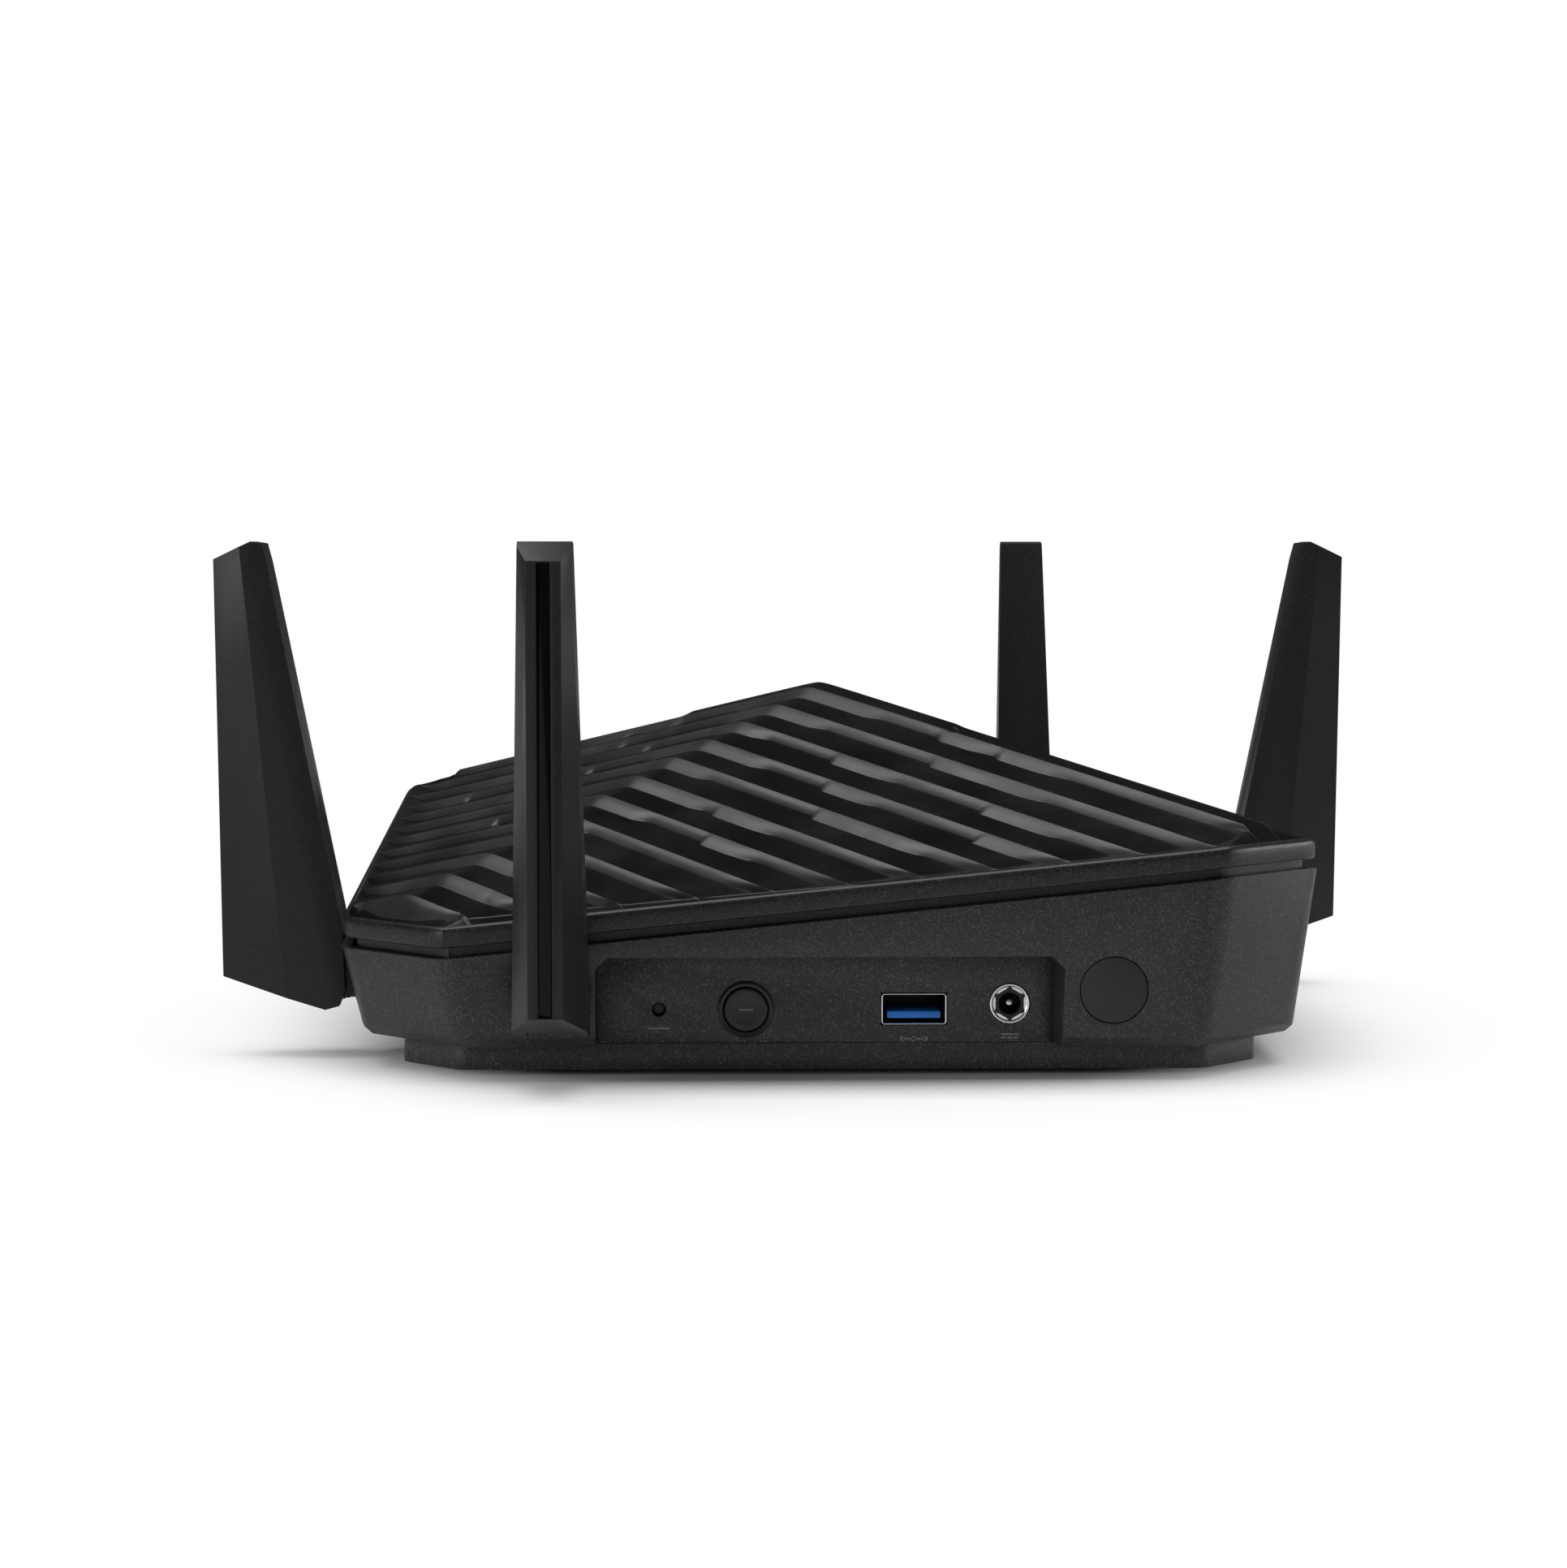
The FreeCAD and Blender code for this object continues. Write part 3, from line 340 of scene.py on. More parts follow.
class Paints:
    """All the materials, by the name of the finish."""

    def __init__(self) -> None:
        self.shell = MouldedPlastic(
            "shell", (0.007, 0.007, 0.0073), (0.025, 0.025, 0.0262), 0.43, specks=0.75).build()
        # A copy of the shell plastic about twice as light, for the bottom plate and the port and network
        # panels. Its extra lightness is painted light, standing in for the light that the front recess and the
        # low band don't get.
        self.panel = MouldedPlastic(
            "panel", (0.014, 0.014, 0.0145), (0.042, 0.042, 0.0437), 0.44, specks=0.8).build()
        self.rim = MouldedPlastic(
            "rim", (0.005, 0.005, 0.0053), (0.015, 0.015, 0.0158), 0.36, specks=0.6, sheen_level=0.42).build()
        self.antenna = MouldedPlastic("antenna", (0.011, 0.011, 0.0115), (0.019, 0.019, 0.020), 0.36,
                                      grain=0.38 * MM, specks=0.15, sheen_level=0.32).build()
        self.cap = MouldedPlastic("cap", (0.010, 0.010, 0.0105), (0.016, 0.016, 0.017), 0.46, grain=0.3 * MM,
                                  specks=0.1).build()
        self.button = MouldedPlastic("button", (0.007, 0.007, 0.0075), (0.013, 0.013, 0.0135), 0.36,
                                     grain=0.3 * MM, specks=0.15).build()
        self.inner = MouldedPlastic("inner_black", (0.006, 0.006, 0.006), (0.012, 0.012, 0.012), 0.5).build()
        # The cover is one black plastic in two copies: tread, and riser, which is about nine times lighter and
        # rougher. The riser's lighter colour is painted light on the rib faces turned to the top lamp.
        self.tread = PolishedPlastic("tread", (0.0022, 0.0022, 0.0024), 0.24, 0.20).build()
        self.riser = PolishedPlastic("riser", (0.020, 0.020, 0.021), 0.38, 0.5).build()
        self.strip = PolishedPlastic("strip", (0.0008, 0.0008, 0.0008), 0.10, 0.2).build()
        self.blue = PolishedPlastic("tongue_blue", (0.016, 0.17, 0.62), 0.35, 0.5).build()
        self.rubber = MouldedPlastic("rubber", (0.010, 0.010, 0.010), (0.018, 0.018, 0.018), 0.75).build()
        self.pad = MouldedPlastic("pad", (0.22, 0.23, 0.26), (0.32, 0.33, 0.36), 0.7).build()
        self.mark = MouldedPlastic("mark", (0.20, 0.20, 0.203), (0.26, 0.26, 0.264), 0.6).build()
        self.steel = PlainMetal("steel", (0.60, 0.60, 0.61), 0.32).build()
        self.tin = PlainMetal("tin", (0.66, 0.66, 0.67), 0.26).build()
        self.chrome = PlainMetal("chrome", (0.82, 0.82, 0.83), 0.12).build()
        self.gold = PlainMetal("gold", (0.83, 0.60, 0.25), 0.25).build()
        self.aluminium = PlainMetal("aluminium", (0.72, 0.72, 0.73), 0.36).build()
        self.board = CircuitBoard("board").build()


# -----------------------------------------------------------------------------
# Mesh helpers
# -----------------------------------------------------------------------------


def add_object(name: str, builder: bmesh.types.BMesh, materials: Iterable[bpy.types.Material], body: str,
               sharp: float = 32.0) -> bpy.types.Object:
    """Turns a bmesh into a piece that rides on a body.

    Args:
        name: the piece's name.
        builder: the mesh, which is freed.
        materials: its materials in order.
        body: the body that it rides on.
        sharp: edges steeper than this many degrees stay sharp.

    Returns: the object.
    """
    bmesh.ops.recalc_face_normals(builder, faces=builder.faces)
    mesh = bpy.data.meshes.new(name)
    builder.to_mesh(mesh)
    builder.free()
    for material in materials:
        mesh.materials.append(material)
    for polygon in mesh.polygons:
        polygon.use_smooth = True
    mesh.set_sharp_from_angle(angle=math.radians(sharp))
    item = bpy.data.objects.new(name, mesh)
    bpy.context.scene.collection.objects.link(item)
    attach(item, body)
    return item


def soften(item: bpy.types.Object, width: float, segments: int = 3, angle: float = 32.0) -> None:
    """Rounds the sharp edges of a CAD node without touching its mesh.

    Args:
        item: the node's object.
        width: how wide the rounding is.
        segments: how many steps it has.
        angle: the least angle of an edge that is rounded, in degrees.
    """
    weld = item.modifiers.new("weld", "WELD")
    weld.merge_threshold = 0.002 * MM
    flat = item.modifiers.new("flat", "DECIMATE")
    flat.decimate_type = "DISSOLVE"
    flat.angle_limit = math.radians(0.6)
    bevel = item.modifiers.new("bevel", "BEVEL")
    bevel.width = width
    bevel.segments = segments
    bevel.limit_method = "ANGLE"
    bevel.angle_limit = math.radians(angle)
    bevel.harden_normals = True
    for polygon in item.data.polygons:
        polygon.use_smooth = True
    item.data.set_sharp_from_angle(angle=math.radians(angle))


def paint_node(name: str, material: bpy.types.Material, width: float = 0.0, angle: float = 32.0) -> None:
    """Gives a CAD node its material and, if asked, soft edges."""
    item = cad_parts[name]
    if not item.material_slots:
        item.data.materials.append(material)
    for holder in item.material_slots:
        holder.material = material
    if width > 0:
        soften(item, width, 3, angle)
    else:
        item.data.set_sharp_from_angle(angle=math.radians(30.0))


def smooth_step(value: float, low: float, high: float) -> float:
    """Returns: 0 at low, 1 at high and a smooth curve between them."""
    share = min(1.0, max(0.0, (value - low) / (high - low)))
    return share * share * (3 - 2 * share)


# -----------------------------------------------------------------------------
# The ribbed cover
# -----------------------------------------------------------------------------


@dataclass(frozen=True)
class Outline:
    """The rim's plan: a square with chamfered and softly rounded corners."""

    half: float = 102.3 * MM
    leg: float = 22.5 * MM
    softness: float = 0.0105

    def walls(self) -> list[Vector]:
        """Returns: each wall's outward direction divided by its distance from the middle."""
        corner = (2 * self.half - self.leg) * ROOT_HALF
        walls = []
        for step in range(8):
            angle = math.pi / 4 * step
            distance = corner if step % 2 else self.half
            walls.append(Vector((math.cos(angle), math.sin(angle))) / distance)
        return walls

    def weigh(self, place: Vector) -> tuple[float, float, Vector]:
        """Returns: the nearest wall's share, the softened share and the softened outward direction."""
        walls = self.walls()
        shares = [wall.dot(place) for wall in walls]
        top = max(shares)
        weights = [math.exp((share - top) / self.softness) for share in shares]
        soft = top + self.softness * math.log(sum(weights))
        normal = sum((wall * weight for wall, weight in zip(walls, weights)), Vector((0.0, 0.0)))
        return top, soft, normal.normalized()

    def soften(self, place: Vector) -> Vector:
        """Returns: a point of the sharp plan moved so that the plan's corners are round."""
        top, soft, _ = self.weigh(place)
        share = smooth_step(top, 0.84, 0.985)
        return place * (1 - share * (1 - top / soft))


@dataclass(frozen=True)
class RoofShape:
    """The four-sided roof. Along is x + y, towards the far corner, and across is x - y, along the ribs."""

    outline: Outline = Outline()
    peak: float = 78.0 * MM
    fall_along: float = 0.2300
    fall_across: float = 0.1430
    fold: float = 2.4 * MM
    rim_low: float = 31.6 * MM
    rim_high: float = 48.0 * MM
    rim_flat: float = 20.0 * MM
    edge_inset: float = 1.1 * MM
    rib_first: float = 190.2 * MM
    rib_pitch: float = 15.435 * MM
    rib_count: int = 12
    depth: float = 1.35 * MM
    riser: float = 2.4 * MM
    riser_wide: float = 4.6 * MM
    drop: float = 0.35 * MM
    crest_reach: float = 60.0 * MM
    crest_step: float = 0.9 * MM

    @property
    def corner(self) -> float:
        """The distance along, or across, of the rim's chamfered corners."""
        return 2 * self.outline.half - self.outline.leg

    def rim(self, along: float) -> float:
        """Returns: the height of the rim's top edge."""
        slope = (self.rim_high - self.rim_low) / (self.corner - self.rim_flat)
        return min(self.rim_high, self.rim_high - slope * (abs(along) - self.rim_flat))

    @property
    def start(self) -> float:
        """Half the roof's length along, between the two low corners."""
        return self.corner - self.edge_inset * math.sqrt(2)

    def reach(self, along: float) -> float:
        """Returns: half the roof's length across, at one place along."""
        side = 2 * self.outline.half - abs(along) - 2 * self.edge_inset
        return min(side, self.start)

    def plane(self, along: float, across: float) -> float:
        """Returns: the height of the roof's four faces, with a rounded fold."""
        spread = math.sqrt(across * across + self.fold * self.fold)
        return self.peak - self.fall_along * abs(along) - self.fall_across * spread

    def rib_edge(self, number: int) -> float:
        """Returns: the distance of a rib's sharp edge from the crest, along."""
        return self.rib_first - self.rib_pitch * number

    def spread(self, number: int, across: float, reach: float) -> float:
        """Returns: how wide a rib's light face is, from 0 to 1.

        The wide stretches start with a step and end in a gentle taper.
        """
        place = abs(across)
        stagger = 5 * (number * 7 % 5)
        share = 0.9 * (1 - smooth_step(place, (7 + stagger) * MM, (15 + stagger) * MM))
        for turn in range(2):
            begin = (38 + 5.5 * ((number * 5 + turn * 3) % 7) + 46 * turn) * MM
            end = begin + (10 + 5 * ((number + turn) % 3)) * MM
            if end < reach - 14 * MM:
                step = smooth_step(place, begin - 2.4 * MM, begin)
                share = max(share, 0.8 * step * (1 - smooth_step(place, end, end + 14 * MM)))
        return share

    def riser_width(self, number: int, across: float, reach: float) -> float:
        """Returns: the width of a rib's light face, thin at its tip."""
        if number == 1:
            room = self.start - self.rib_edge(1) - 1.2 * MM
            return room * (1 - 0.8 * smooth_step(abs(across) / reach, 0.2, 1.0))
        width = self.riser + (self.riser_wide - self.riser) * self.spread(number, across, reach)
        return width * (0.08 + 0.92 * smooth_step(reach - abs(across), 0.0, 20 * MM))

    def groove(self, across: float, reach: float) -> float:
        """Returns: how deep the tread in front of a rib lies under the roof."""
        return self.depth * self.fade(across, reach)

    def fade(self, across: float, reach: float) -> float:
        """Returns: how deep the grooves are near the rim, from 0 to 1."""
        return smooth_step(reach - abs(across), 0.8 * MM, 5.5 * MM)

    def lid(self, along: float, across: float, reach: float, level: float) -> float:
        """Returns: a height that meets the rim and stays under the bevel that rises from it."""
        side = max(0.0, reach - abs(across)) * ROOT_HALF
        front = max(0.0, self.start - abs(along)) * ROOT_HALF
        bevel = self.rim(along) + 0.35 * MM + min(0.85 * side, 1.6 * front)
        near = 1 - smooth_step(min(side, front), 0.0, 9 * MM)
        lift = max(0.0, self.rim(along) + 0.35 * MM - level) * near
        return min(level + lift, bevel)


class Cover:
    """The top cover: a grid over the roof, a rim band, a lip and a closed underside."""

    RISER_STEPS = (0.0, 0.05, 0.13, 0.24, 0.38, 0.56, 0.78, 1.0)
    TREAD_STEPS = (0.0, 0.07, 0.3, 0.6, 0.85, 0.96)

    def __init__(self, shape: RoofShape, paints: Paints) -> None:
        """Args:
            shape: the roof's sizes.
            paints: the materials.
        """
        self.shape = shape
        self.paints = paints

    def rows(self) -> list[tuple[int, str, float]]:
        """Returns: the grid's rows from the low corner to the crest: rib number, kind and share."""
        rows: list[tuple[int, str, float]] = []
        for number in range(1, self.shape.rib_count + 1):
            rows += [(number, "tread", share) for share in self.TREAD_STEPS]
            rows += [(number, "riser", share) for share in self.RISER_STEPS]
        rows += [(self.shape.rib_count + 1, "crest", share) for share in (0.12, 0.3, 0.65, 1.0)]
        return rows

    def columns(self) -> list[float]:
        """Returns: shares of the reach across, finer at the fold and at the rim."""
        middle = [0.0, 0.006, 0.013, 0.022, 0.034, 0.05, 0.07]
        body = [0.07 + 0.82 * step / 96 for step in range(1, 97)]
        tip = [0.9, 0.91, 0.92, 0.93, 0.94, 0.95, 0.958, 0.966, 0.974, 0.98, 0.986, 0.991, 0.995, 0.998, 1.0]
        side = middle + body + tip
        return [-share for share in reversed(side[1:])] + side

    def point(self, row: tuple[int, str, float], share: float) -> Vector:
        """Returns: one grid point of the half towards the low corner, as (along, across, height)."""
        shape = self.shape
        number, kind, part = row
        edge = -shape.rib_edge(min(number, shape.rib_count))
        before = -shape.start if number == 1 else -shape.rib_edge(number - 1)
        nominal = 0.5 * (edge + before) if kind != "riser" else edge
        reach = shape.reach(nominal)
        width = min(shape.riser_width(number, share * reach, reach), 0.85 * (edge - before))
        if kind == "crest":
            along = edge * (1 - part)
        elif kind == "riser":
            along = edge - width * (1 - part)
        else:
            begin = before + (0 if number == 1 else shape.drop)
            along = begin + (edge - width - begin) * part
        reach = shape.reach(along)
        across = share * reach
        top = shape.plane(along, across)
        floor = top - shape.groove(across, reach)
        if number == 1:
            floor = min(floor, shape.rim(along) + 0.35 * MM + 0.25 * (along + shape.start))
        if kind == "tread":
            height = floor
        elif kind == "riser":
            rise = 0.7 * (1 - (1 - part) ** 2) + 0.3 * part
            height = floor + (top - floor) * rise
        else:
            crest_end = shape.crest_reach + 1.5 * MM
            step = shape.crest_step * smooth_step(abs(across), shape.crest_reach, crest_end)
            height = top - step * min(1.0, part * 3)
        return Vector((along, across, shape.lid(along, across, reach, height)))

    def build(self) -> bpy.types.Object:
        """Returns: the finished cover, which stands for the CAD node."""
        builder = bmesh.new()
        rows, columns = self.rows(), self.columns()
        kinds = [row[1] for row in rows] + [row[1] for row in reversed(rows[:-1])]
        grid: list[list[bmesh.types.BMVert]] = []
        for mirror in (1, -1):
            for row in rows if mirror > 0 else reversed(rows[:-1]):
                line = []
                for share in columns:
                    along, across, height = self.point(row, share)
                    sharp = Vector((mirror * along + across, mirror * along - across)) / 2
                    place = self.shape.outline.soften(sharp)
                    line.append(builder.verts.new((place.x, place.y, height)))
                grid.append(line)
        for i in range(len(grid) - 1):
            is_riser = kinds[i] == kinds[i + 1] == "riser"
            for j in range(len(columns) - 1):
                face = builder.faces.new((grid[i][j], grid[i][j + 1], grid[i + 1][j + 1], grid[i + 1][j]))
                # Riser faces take the lighter riser copy of the cover plastic: painted light on the faces
                # turned to the lamp.
                face.material_index = 1 if is_riser else 0
        loop = [line[0] for line in grid] + grid[-1][1:-1]
        loop += [line[-1] for line in reversed(grid)] + list(reversed(grid[0][1:-1]))
        self.close(builder, loop)
        skins = (self.paints.tread, self.paints.riser, self.paints.rim)
        item = add_object("cover_skin", builder, skins, "root", 38.0)
        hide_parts("top_cover")
        return item

    def close(self, builder: bmesh.types.BMesh, loop: list[bmesh.types.BMVert]) -> None:
        """Adds the rim band, the lip and the underside below the roof's edge.

        Args:
            builder: the mesh with the roof.
            loop: the roof's border, in order.
        """
        shape = self.shape
        base = [vertex.co.copy() for vertex in loop]
        normals = [shape.outline.weigh(place.xy)[2] for place in base]
        steps = (
            (0.30, 0.05), (0.62, 0.18), (0.90, 0.42), (1.05, 0.75), (1.1, 1.15), (1.1, 3.3), (1.0, 3.7),
            (0.7, 3.95), (0.3, 4.0), (-1.6, 4.0), (-1.6, 8.5), (-3.0, 8.5), (-3.0, 5.0),
        )
        previous = loop
        for push, fall in steps:
            ring = []
            for place, normal in zip(base, normals):
                rim = shape.rim(place.x + place.y)
                blend = min(1.0, fall / 1.15)
                level = place.z * (1 - blend) + rim * blend - fall * MM
                spot = place.xy + normal * push * MM
                ring.append(builder.verts.new((spot.x, spot.y, level)))
            for i in range(len(ring)):
                j = (i + 1) % len(ring)
                face = builder.faces.new((previous[i], previous[j], ring[j], ring[i]))
                face.material_index = 2
            previous = ring
        apex = builder.verts.new((0, 0, shape.peak - 5 * MM))
        for i in range(len(previous)):
            face = builder.faces.new((previous[i], previous[(i + 1) % len(previous)], apex))
            face.material_index = 2


# -----------------------------------------------------------------------------
# Port details
# -----------------------------------------------------------------------------


def lathe(name: str, outline: Sequence[tuple[float, float]], centre: Vector, axis: Vector,
          material: bpy.types.Material, body: str, steps: int = 64) -> bpy.types.Object:
    """Spins an outline about an axis.

    Args:
        name: the piece's name.
        outline: (radius, distance along the axis) points, from the axis back to the axis or a closed ring.
        centre: the axis's start.
        axis: its direction.
        material: the piece's material.
        body: the body that it rides on.
        steps: how many facets the turn has.

    Returns: the object.
    """
    builder = bmesh.new()
    points = [builder.verts.new((radius, 0, along)) for radius, along in outline]
    closed = outline[0][0] > 0 and outline[-1][0] > 0
    edges = [builder.edges.new(pair) for pair in zip(points, points[1:])]
    if closed:
        edges.append(builder.edges.new((points[-1], points[0])))
    bmesh.ops.spin(builder, geom=points + edges, cent=(0, 0, 0), axis=(0, 0, 1), angle=math.tau, steps=steps,
                   use_merge=True, dvec=(0, 0, 0))
    bmesh.ops.remove_doubles(builder, verts=builder.verts, dist=1e-7)
    turn = Vector((0, 0, 1)).rotation_difference(axis).to_matrix().to_4x4()
    bmesh.ops.transform(builder, matrix=Matrix.Translation(centre) @ turn, verts=builder.verts)
    return add_object(name, builder, (material,), body)


def slab(name: str, low: Vector, high: Vector, bevel: float, material: bpy.types.Material, body: str) -> bpy.types.Object:
    """A small block with rounded edges, between two corners."""
    builder = bmesh.new()
    bmesh.ops.create_cube(builder, size=1.0)
    for vertex in builder.verts:
        for axis in range(3):
            vertex.co[axis] = high[axis] if vertex.co[axis] > 0 else low[axis]
    bmesh.ops.bevel(builder, geom=list(builder.edges), offset=bevel, affect="EDGES", segments=2, profile=0.5,
                    material=-1)
    return add_object(name, builder, (material,), body)


class Ports:
    """What is in the front recess: button, pinhole, USB port, power jack and small printed marks."""

    def __init__(self, paints: Paints) -> None:
        """Args:
            paints: the materials.
        """
        self.paints = paints
        self.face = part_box("port_panel")[0].y + 0.6 * MM
        self.made: list[bpy.types.Object] = []

    def build(self) -> None:
        """Makes every detail of the front ports."""
        self.button()
        self.collar()
        self.pinhole()
        self.usb()
        self.jack()
        self.marks()

    def button(self) -> None:
        """The pairing button with a shallow dish and a rounded edge."""
        low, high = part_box("pairing_button")
        centre = (low + high) / 2
        radius = (high.x - low.x) / 2
        outline = [
            (0.0, 0.22 * MM), (radius * 0.45, 0.16 * MM), (radius * 0.72, 0.05 * MM), (radius * 0.84, 0.0),
            (radius * 0.93, 0.06 * MM), (radius * 0.985, 0.28 * MM), (radius, 0.7 * MM), (radius, 3.2 * MM),
            (1.5 * MM, 3.2 * MM), (1.5 * MM, high.y - low.y), (0.0, high.y - low.y),
        ]
        start = Vector((centre.x, low.y, centre.z))
        cap = lathe("button_cap", outline, start, Vector((0, 1, 0)), self.paints.button,
                    "pairing_button_body", 96)
        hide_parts("pairing_button")

    def pinhole(self) -> None:
        """A dark bevelled collar inside the reset hole."""
        low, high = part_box("reset_plunger")
        centre = (low + high) / 2
        outline = [
            (1.32 * MM, 1.2 * MM), (1.32 * MM, 0.12 * MM), (1.49 * MM, -0.02 * MM), (1.495 * MM, 1.2 * MM),
        ]
        start = Vector((centre.x, self.face, centre.z))
        lathe("reset_collar", outline, start, Vector((0, 1, 0)), self.paints.inner,
              "root", 48)

    def collar(self) -> None:
        """The raised, rounded ring around the pairing button."""
        low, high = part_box("pairing_button")
        centre = (low + high) / 2
        inner, outer = 4.86 * MM, 5.85 * MM
        middle = (inner + outer) / 2
        outline = [
            (inner, 2.4 * MM), (inner, 0.25 * MM), (inner + 0.12 * MM, 0.06 * MM), (middle, -0.06 * MM),
            (outer - 0.14 * MM, 0.08 * MM), (outer - 0.02 * MM, 0.34 * MM), (outer + 0.05 * MM, 2.4 * MM),
        ]
        start = Vector((centre.x, self.face - 0.66 * MM, centre.z))
        lathe("button_ring", outline, start, Vector((0, 1, 0)), self.paints.button,
              "root", 96)

    def usb(self) -> None:
        """The USB port: a bright folded tube, a blue tongue in its lower half and four contacts under it."""
        low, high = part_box("usb_shell")
        middle = (low + high) / 2
        self.usb_tube(low, high)
        tongue_low, tongue_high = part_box("usb_tongue")
        half = 5.55 * MM
        floor = low.z + 1.25 * MM
        blade_low = Vector((middle.x - half, tongue_low.y, floor))
        blade_high = Vector((middle.x + half, tongue_high.y - 4 * MM, floor + 1.5 * MM))
        tongue = slab("usb_blade", blade_low, blade_high, 0.22 * MM, self.paints.blue, "root")
        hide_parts("usb_tongue")
        heel_low = Vector((low.x + 0.6 * MM, tongue_high.y - 4 * MM, low.z + 0.6 * MM))
        heel_high = Vector((high.x - 0.6 * MM, tongue_high.y, high.z - 0.6 * MM))
        slab("usb_heel", heel_low, heel_high, 0.2 * MM, self.paints.inner, "root")
        for number in range(4):
            x = middle.x + (number - 1.5) * 2.5 * MM
            contact_low = Vector((x - 0.5 * MM, tongue_low.y + 0.9 * MM, floor - 0.1 * MM))
            contact_high = Vector((x + 0.5 * MM, tongue_low.y + 8.5 * MM, floor + 0.08 * MM))
            slab("usb_contact_%d" % number, contact_low, contact_high, 0.02 * MM, self.paints.gold, "root")

    def usb_tube(self, low: Vector, high: Vector) -> None:
        """A rectangular tube with rounded corners and a rounded front lip; past 0.9 mm deep its inside is
        black plastic, painted shade in place of the chrome.
        """
        builder = bmesh.new()
        rings = []
        centre_x, centre_z = (low.x + high.x) / 2, (low.z + high.z) / 2
        half_x, half_z = (high.x - low.x) / 2, (high.z - low.z) / 2
        deep = high.y - low.y
        lip = (
            (0.0, 0.22), (0.07, 0.06), (0.2, 0.0), (0.33, 0.05), (0.4, 0.2), (0.4, 0.9), (0.42, 1.2),
        )
        profile = [(0.0, deep)] + [(inset, depth * MM) for inset, depth in lip] + [(0.42, deep)]
        painted_shade_ring = 6
        for inset, depth in profile:
            ring = []
            corner = max(0.15, 0.75 - inset) * MM
            for sign_x, sign_z, turn in ((1, -1, -90), (1, 1, 0), (-1, 1, 90), (-1, -1, 180)):
                for step in range(6):
                    angle = math.radians(turn + 18 * step)
                    x = centre_x + sign_x * (half_x - inset * MM - corner) + corner * math.cos(angle)
                    z = centre_z + sign_z * (half_z - inset * MM - corner) + corner * math.sin(angle)
                    ring.append(builder.verts.new((x, low.y + depth, z)))
            rings.append(ring)
        for index, (first, second) in enumerate(zip(rings, rings[1:] + rings[:1])):
            for i in range(len(first)):
                j = (i + 1) % len(first)
                face = builder.faces.new((first[i], first[j], second[j], second[i]))
                # Faces from ring 6 on, inside the tube past 0.9 mm deep, take the black inner plastic: painted
                # shade in the chrome shell.
                face.material_index = 1 if index >= painted_shade_ring else 0
        tube = add_object("usb_tube", builder, (self.paints.chrome, self.paints.inner),
                          "root", 50.0)
        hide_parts("usb_shell")

    def jack(self) -> None:
        """A bright ring, a black insert with six teeth, and a round-nosed pin."""
        low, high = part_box("jack_ring")
        centre = (low + high) / 2
        radius = (high.x - low.x) / 2
        ring = [
            (2.45 * MM, 0.33 * MM), (2.45 * MM, 0.26 * MM), (radius - 0.75 * MM, 0.24 * MM),
            (radius - 0.6 * MM, 0.14 * MM), (radius - 0.42 * MM, 0.02 * MM), (radius - 0.25 * MM, 0.0),
            (radius - 0.08 * MM, 0.08 * MM), (radius, 0.3 * MM), (radius, 3.0 * MM),
            (radius - 0.6 * MM, 3.0 * MM),
            (radius - 0.6 * MM, 0.33 * MM),
        ]
        start = Vector((centre.x, low.y, centre.z))
        item = lathe("jack_bezel", ring, start, Vector((0, 1, 0)), self.paints.chrome,
                     "root", 96)
        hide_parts("jack_ring")
        self.toothed_insert(start)
        pin = [
            (0.0, 0.35 * MM), (0.5 * MM, 0.42 * MM), (0.85 * MM, 0.7 * MM), (0.95 * MM, 1.1 * MM),
            (0.95 * MM, 8.0 * MM), (0.0, 8.0 * MM),
        ]
        pin_start = Vector((centre.x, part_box("jack_pin")[0].y, centre.z))
        item = lathe("jack_post", pin, pin_start, Vector((0, 1, 0)), self.paints.chrome,
                     "root", 48)
        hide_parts("jack_pin")

    def toothed_insert(self, start: Vector) -> None:
        """A black insert whose front is a star with six points over the bright ring."""
        builder = bmesh.new()
        count = 144
        inner, valley, point = 2.3 * MM, 2.95 * MM, 3.5 * MM
        rings = []
        for depth, shrink, is_hole in ((0.245, 0.0, False), (0.12, 0.0, False), (0.08, 0.05, False),
                                       (0.12, 0.0, True), (4.0, 0.0, True), (4.0, 0.1, False)):
            ring = []
            for step in range(count):
                angle = math.tau * step / count + math.pi / 6
                tooth = (0.5 + 0.5 * math.cos(6 * angle + math.pi)) ** 3
                reach = valley + (point - valley) * tooth - shrink * MM
                if is_hole:
                    reach = inner
                elif depth > 1:
                    reach = inner + shrink * MM
                spot = (start.x + reach * math.cos(angle), start.y + depth * MM,
                        start.z + reach * math.sin(angle))
                ring.append(builder.verts.new(spot))
            rings.append(ring)
        for first, second in zip(rings, rings[1:] + rings[:1]):
            for i in range(count):
                j = (i + 1) % count
                builder.faces.new((first[i], first[j], second[j], second[i]))
        add_object("jack_star", builder, (self.paints.inner,), "root")

    def marks(self) -> None:
        """Generic printed marks: plain bars and dots under the pinhole, the USB port and the power jack."""
        self.bar("reset_plunger", 0.0, -3.9, 2.2, 0.22)
        self.bar("usb_shell", 0.0, -6.2, 2.4, 0.16)
        for place in (-2.4, 0.0, 2.4):
            self.bar("usb_shell", place, -6.2, 0.42, 0.42)
        self.bar("jack_ring", 0.0, -6.4, 1.8, 0.16)
        for place in (-1.3, 0.0, 1.3):
            self.bar("jack_ring", place, -7.15, 0.5, 0.16)
        low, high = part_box("pairing_button")
        centre = (low + high) / 2
        start = Vector((centre.x - 1.5 * MM, low.y + 0.17 * MM, centre.z - 0.16 * MM))
        end = Vector((centre.x + 1.5 * MM, low.y + 0.3 * MM, centre.z + 0.16 * MM))
        slab("mark_button", start, end, 0.012 * MM, self.paints.mark, "pairing_button_body")

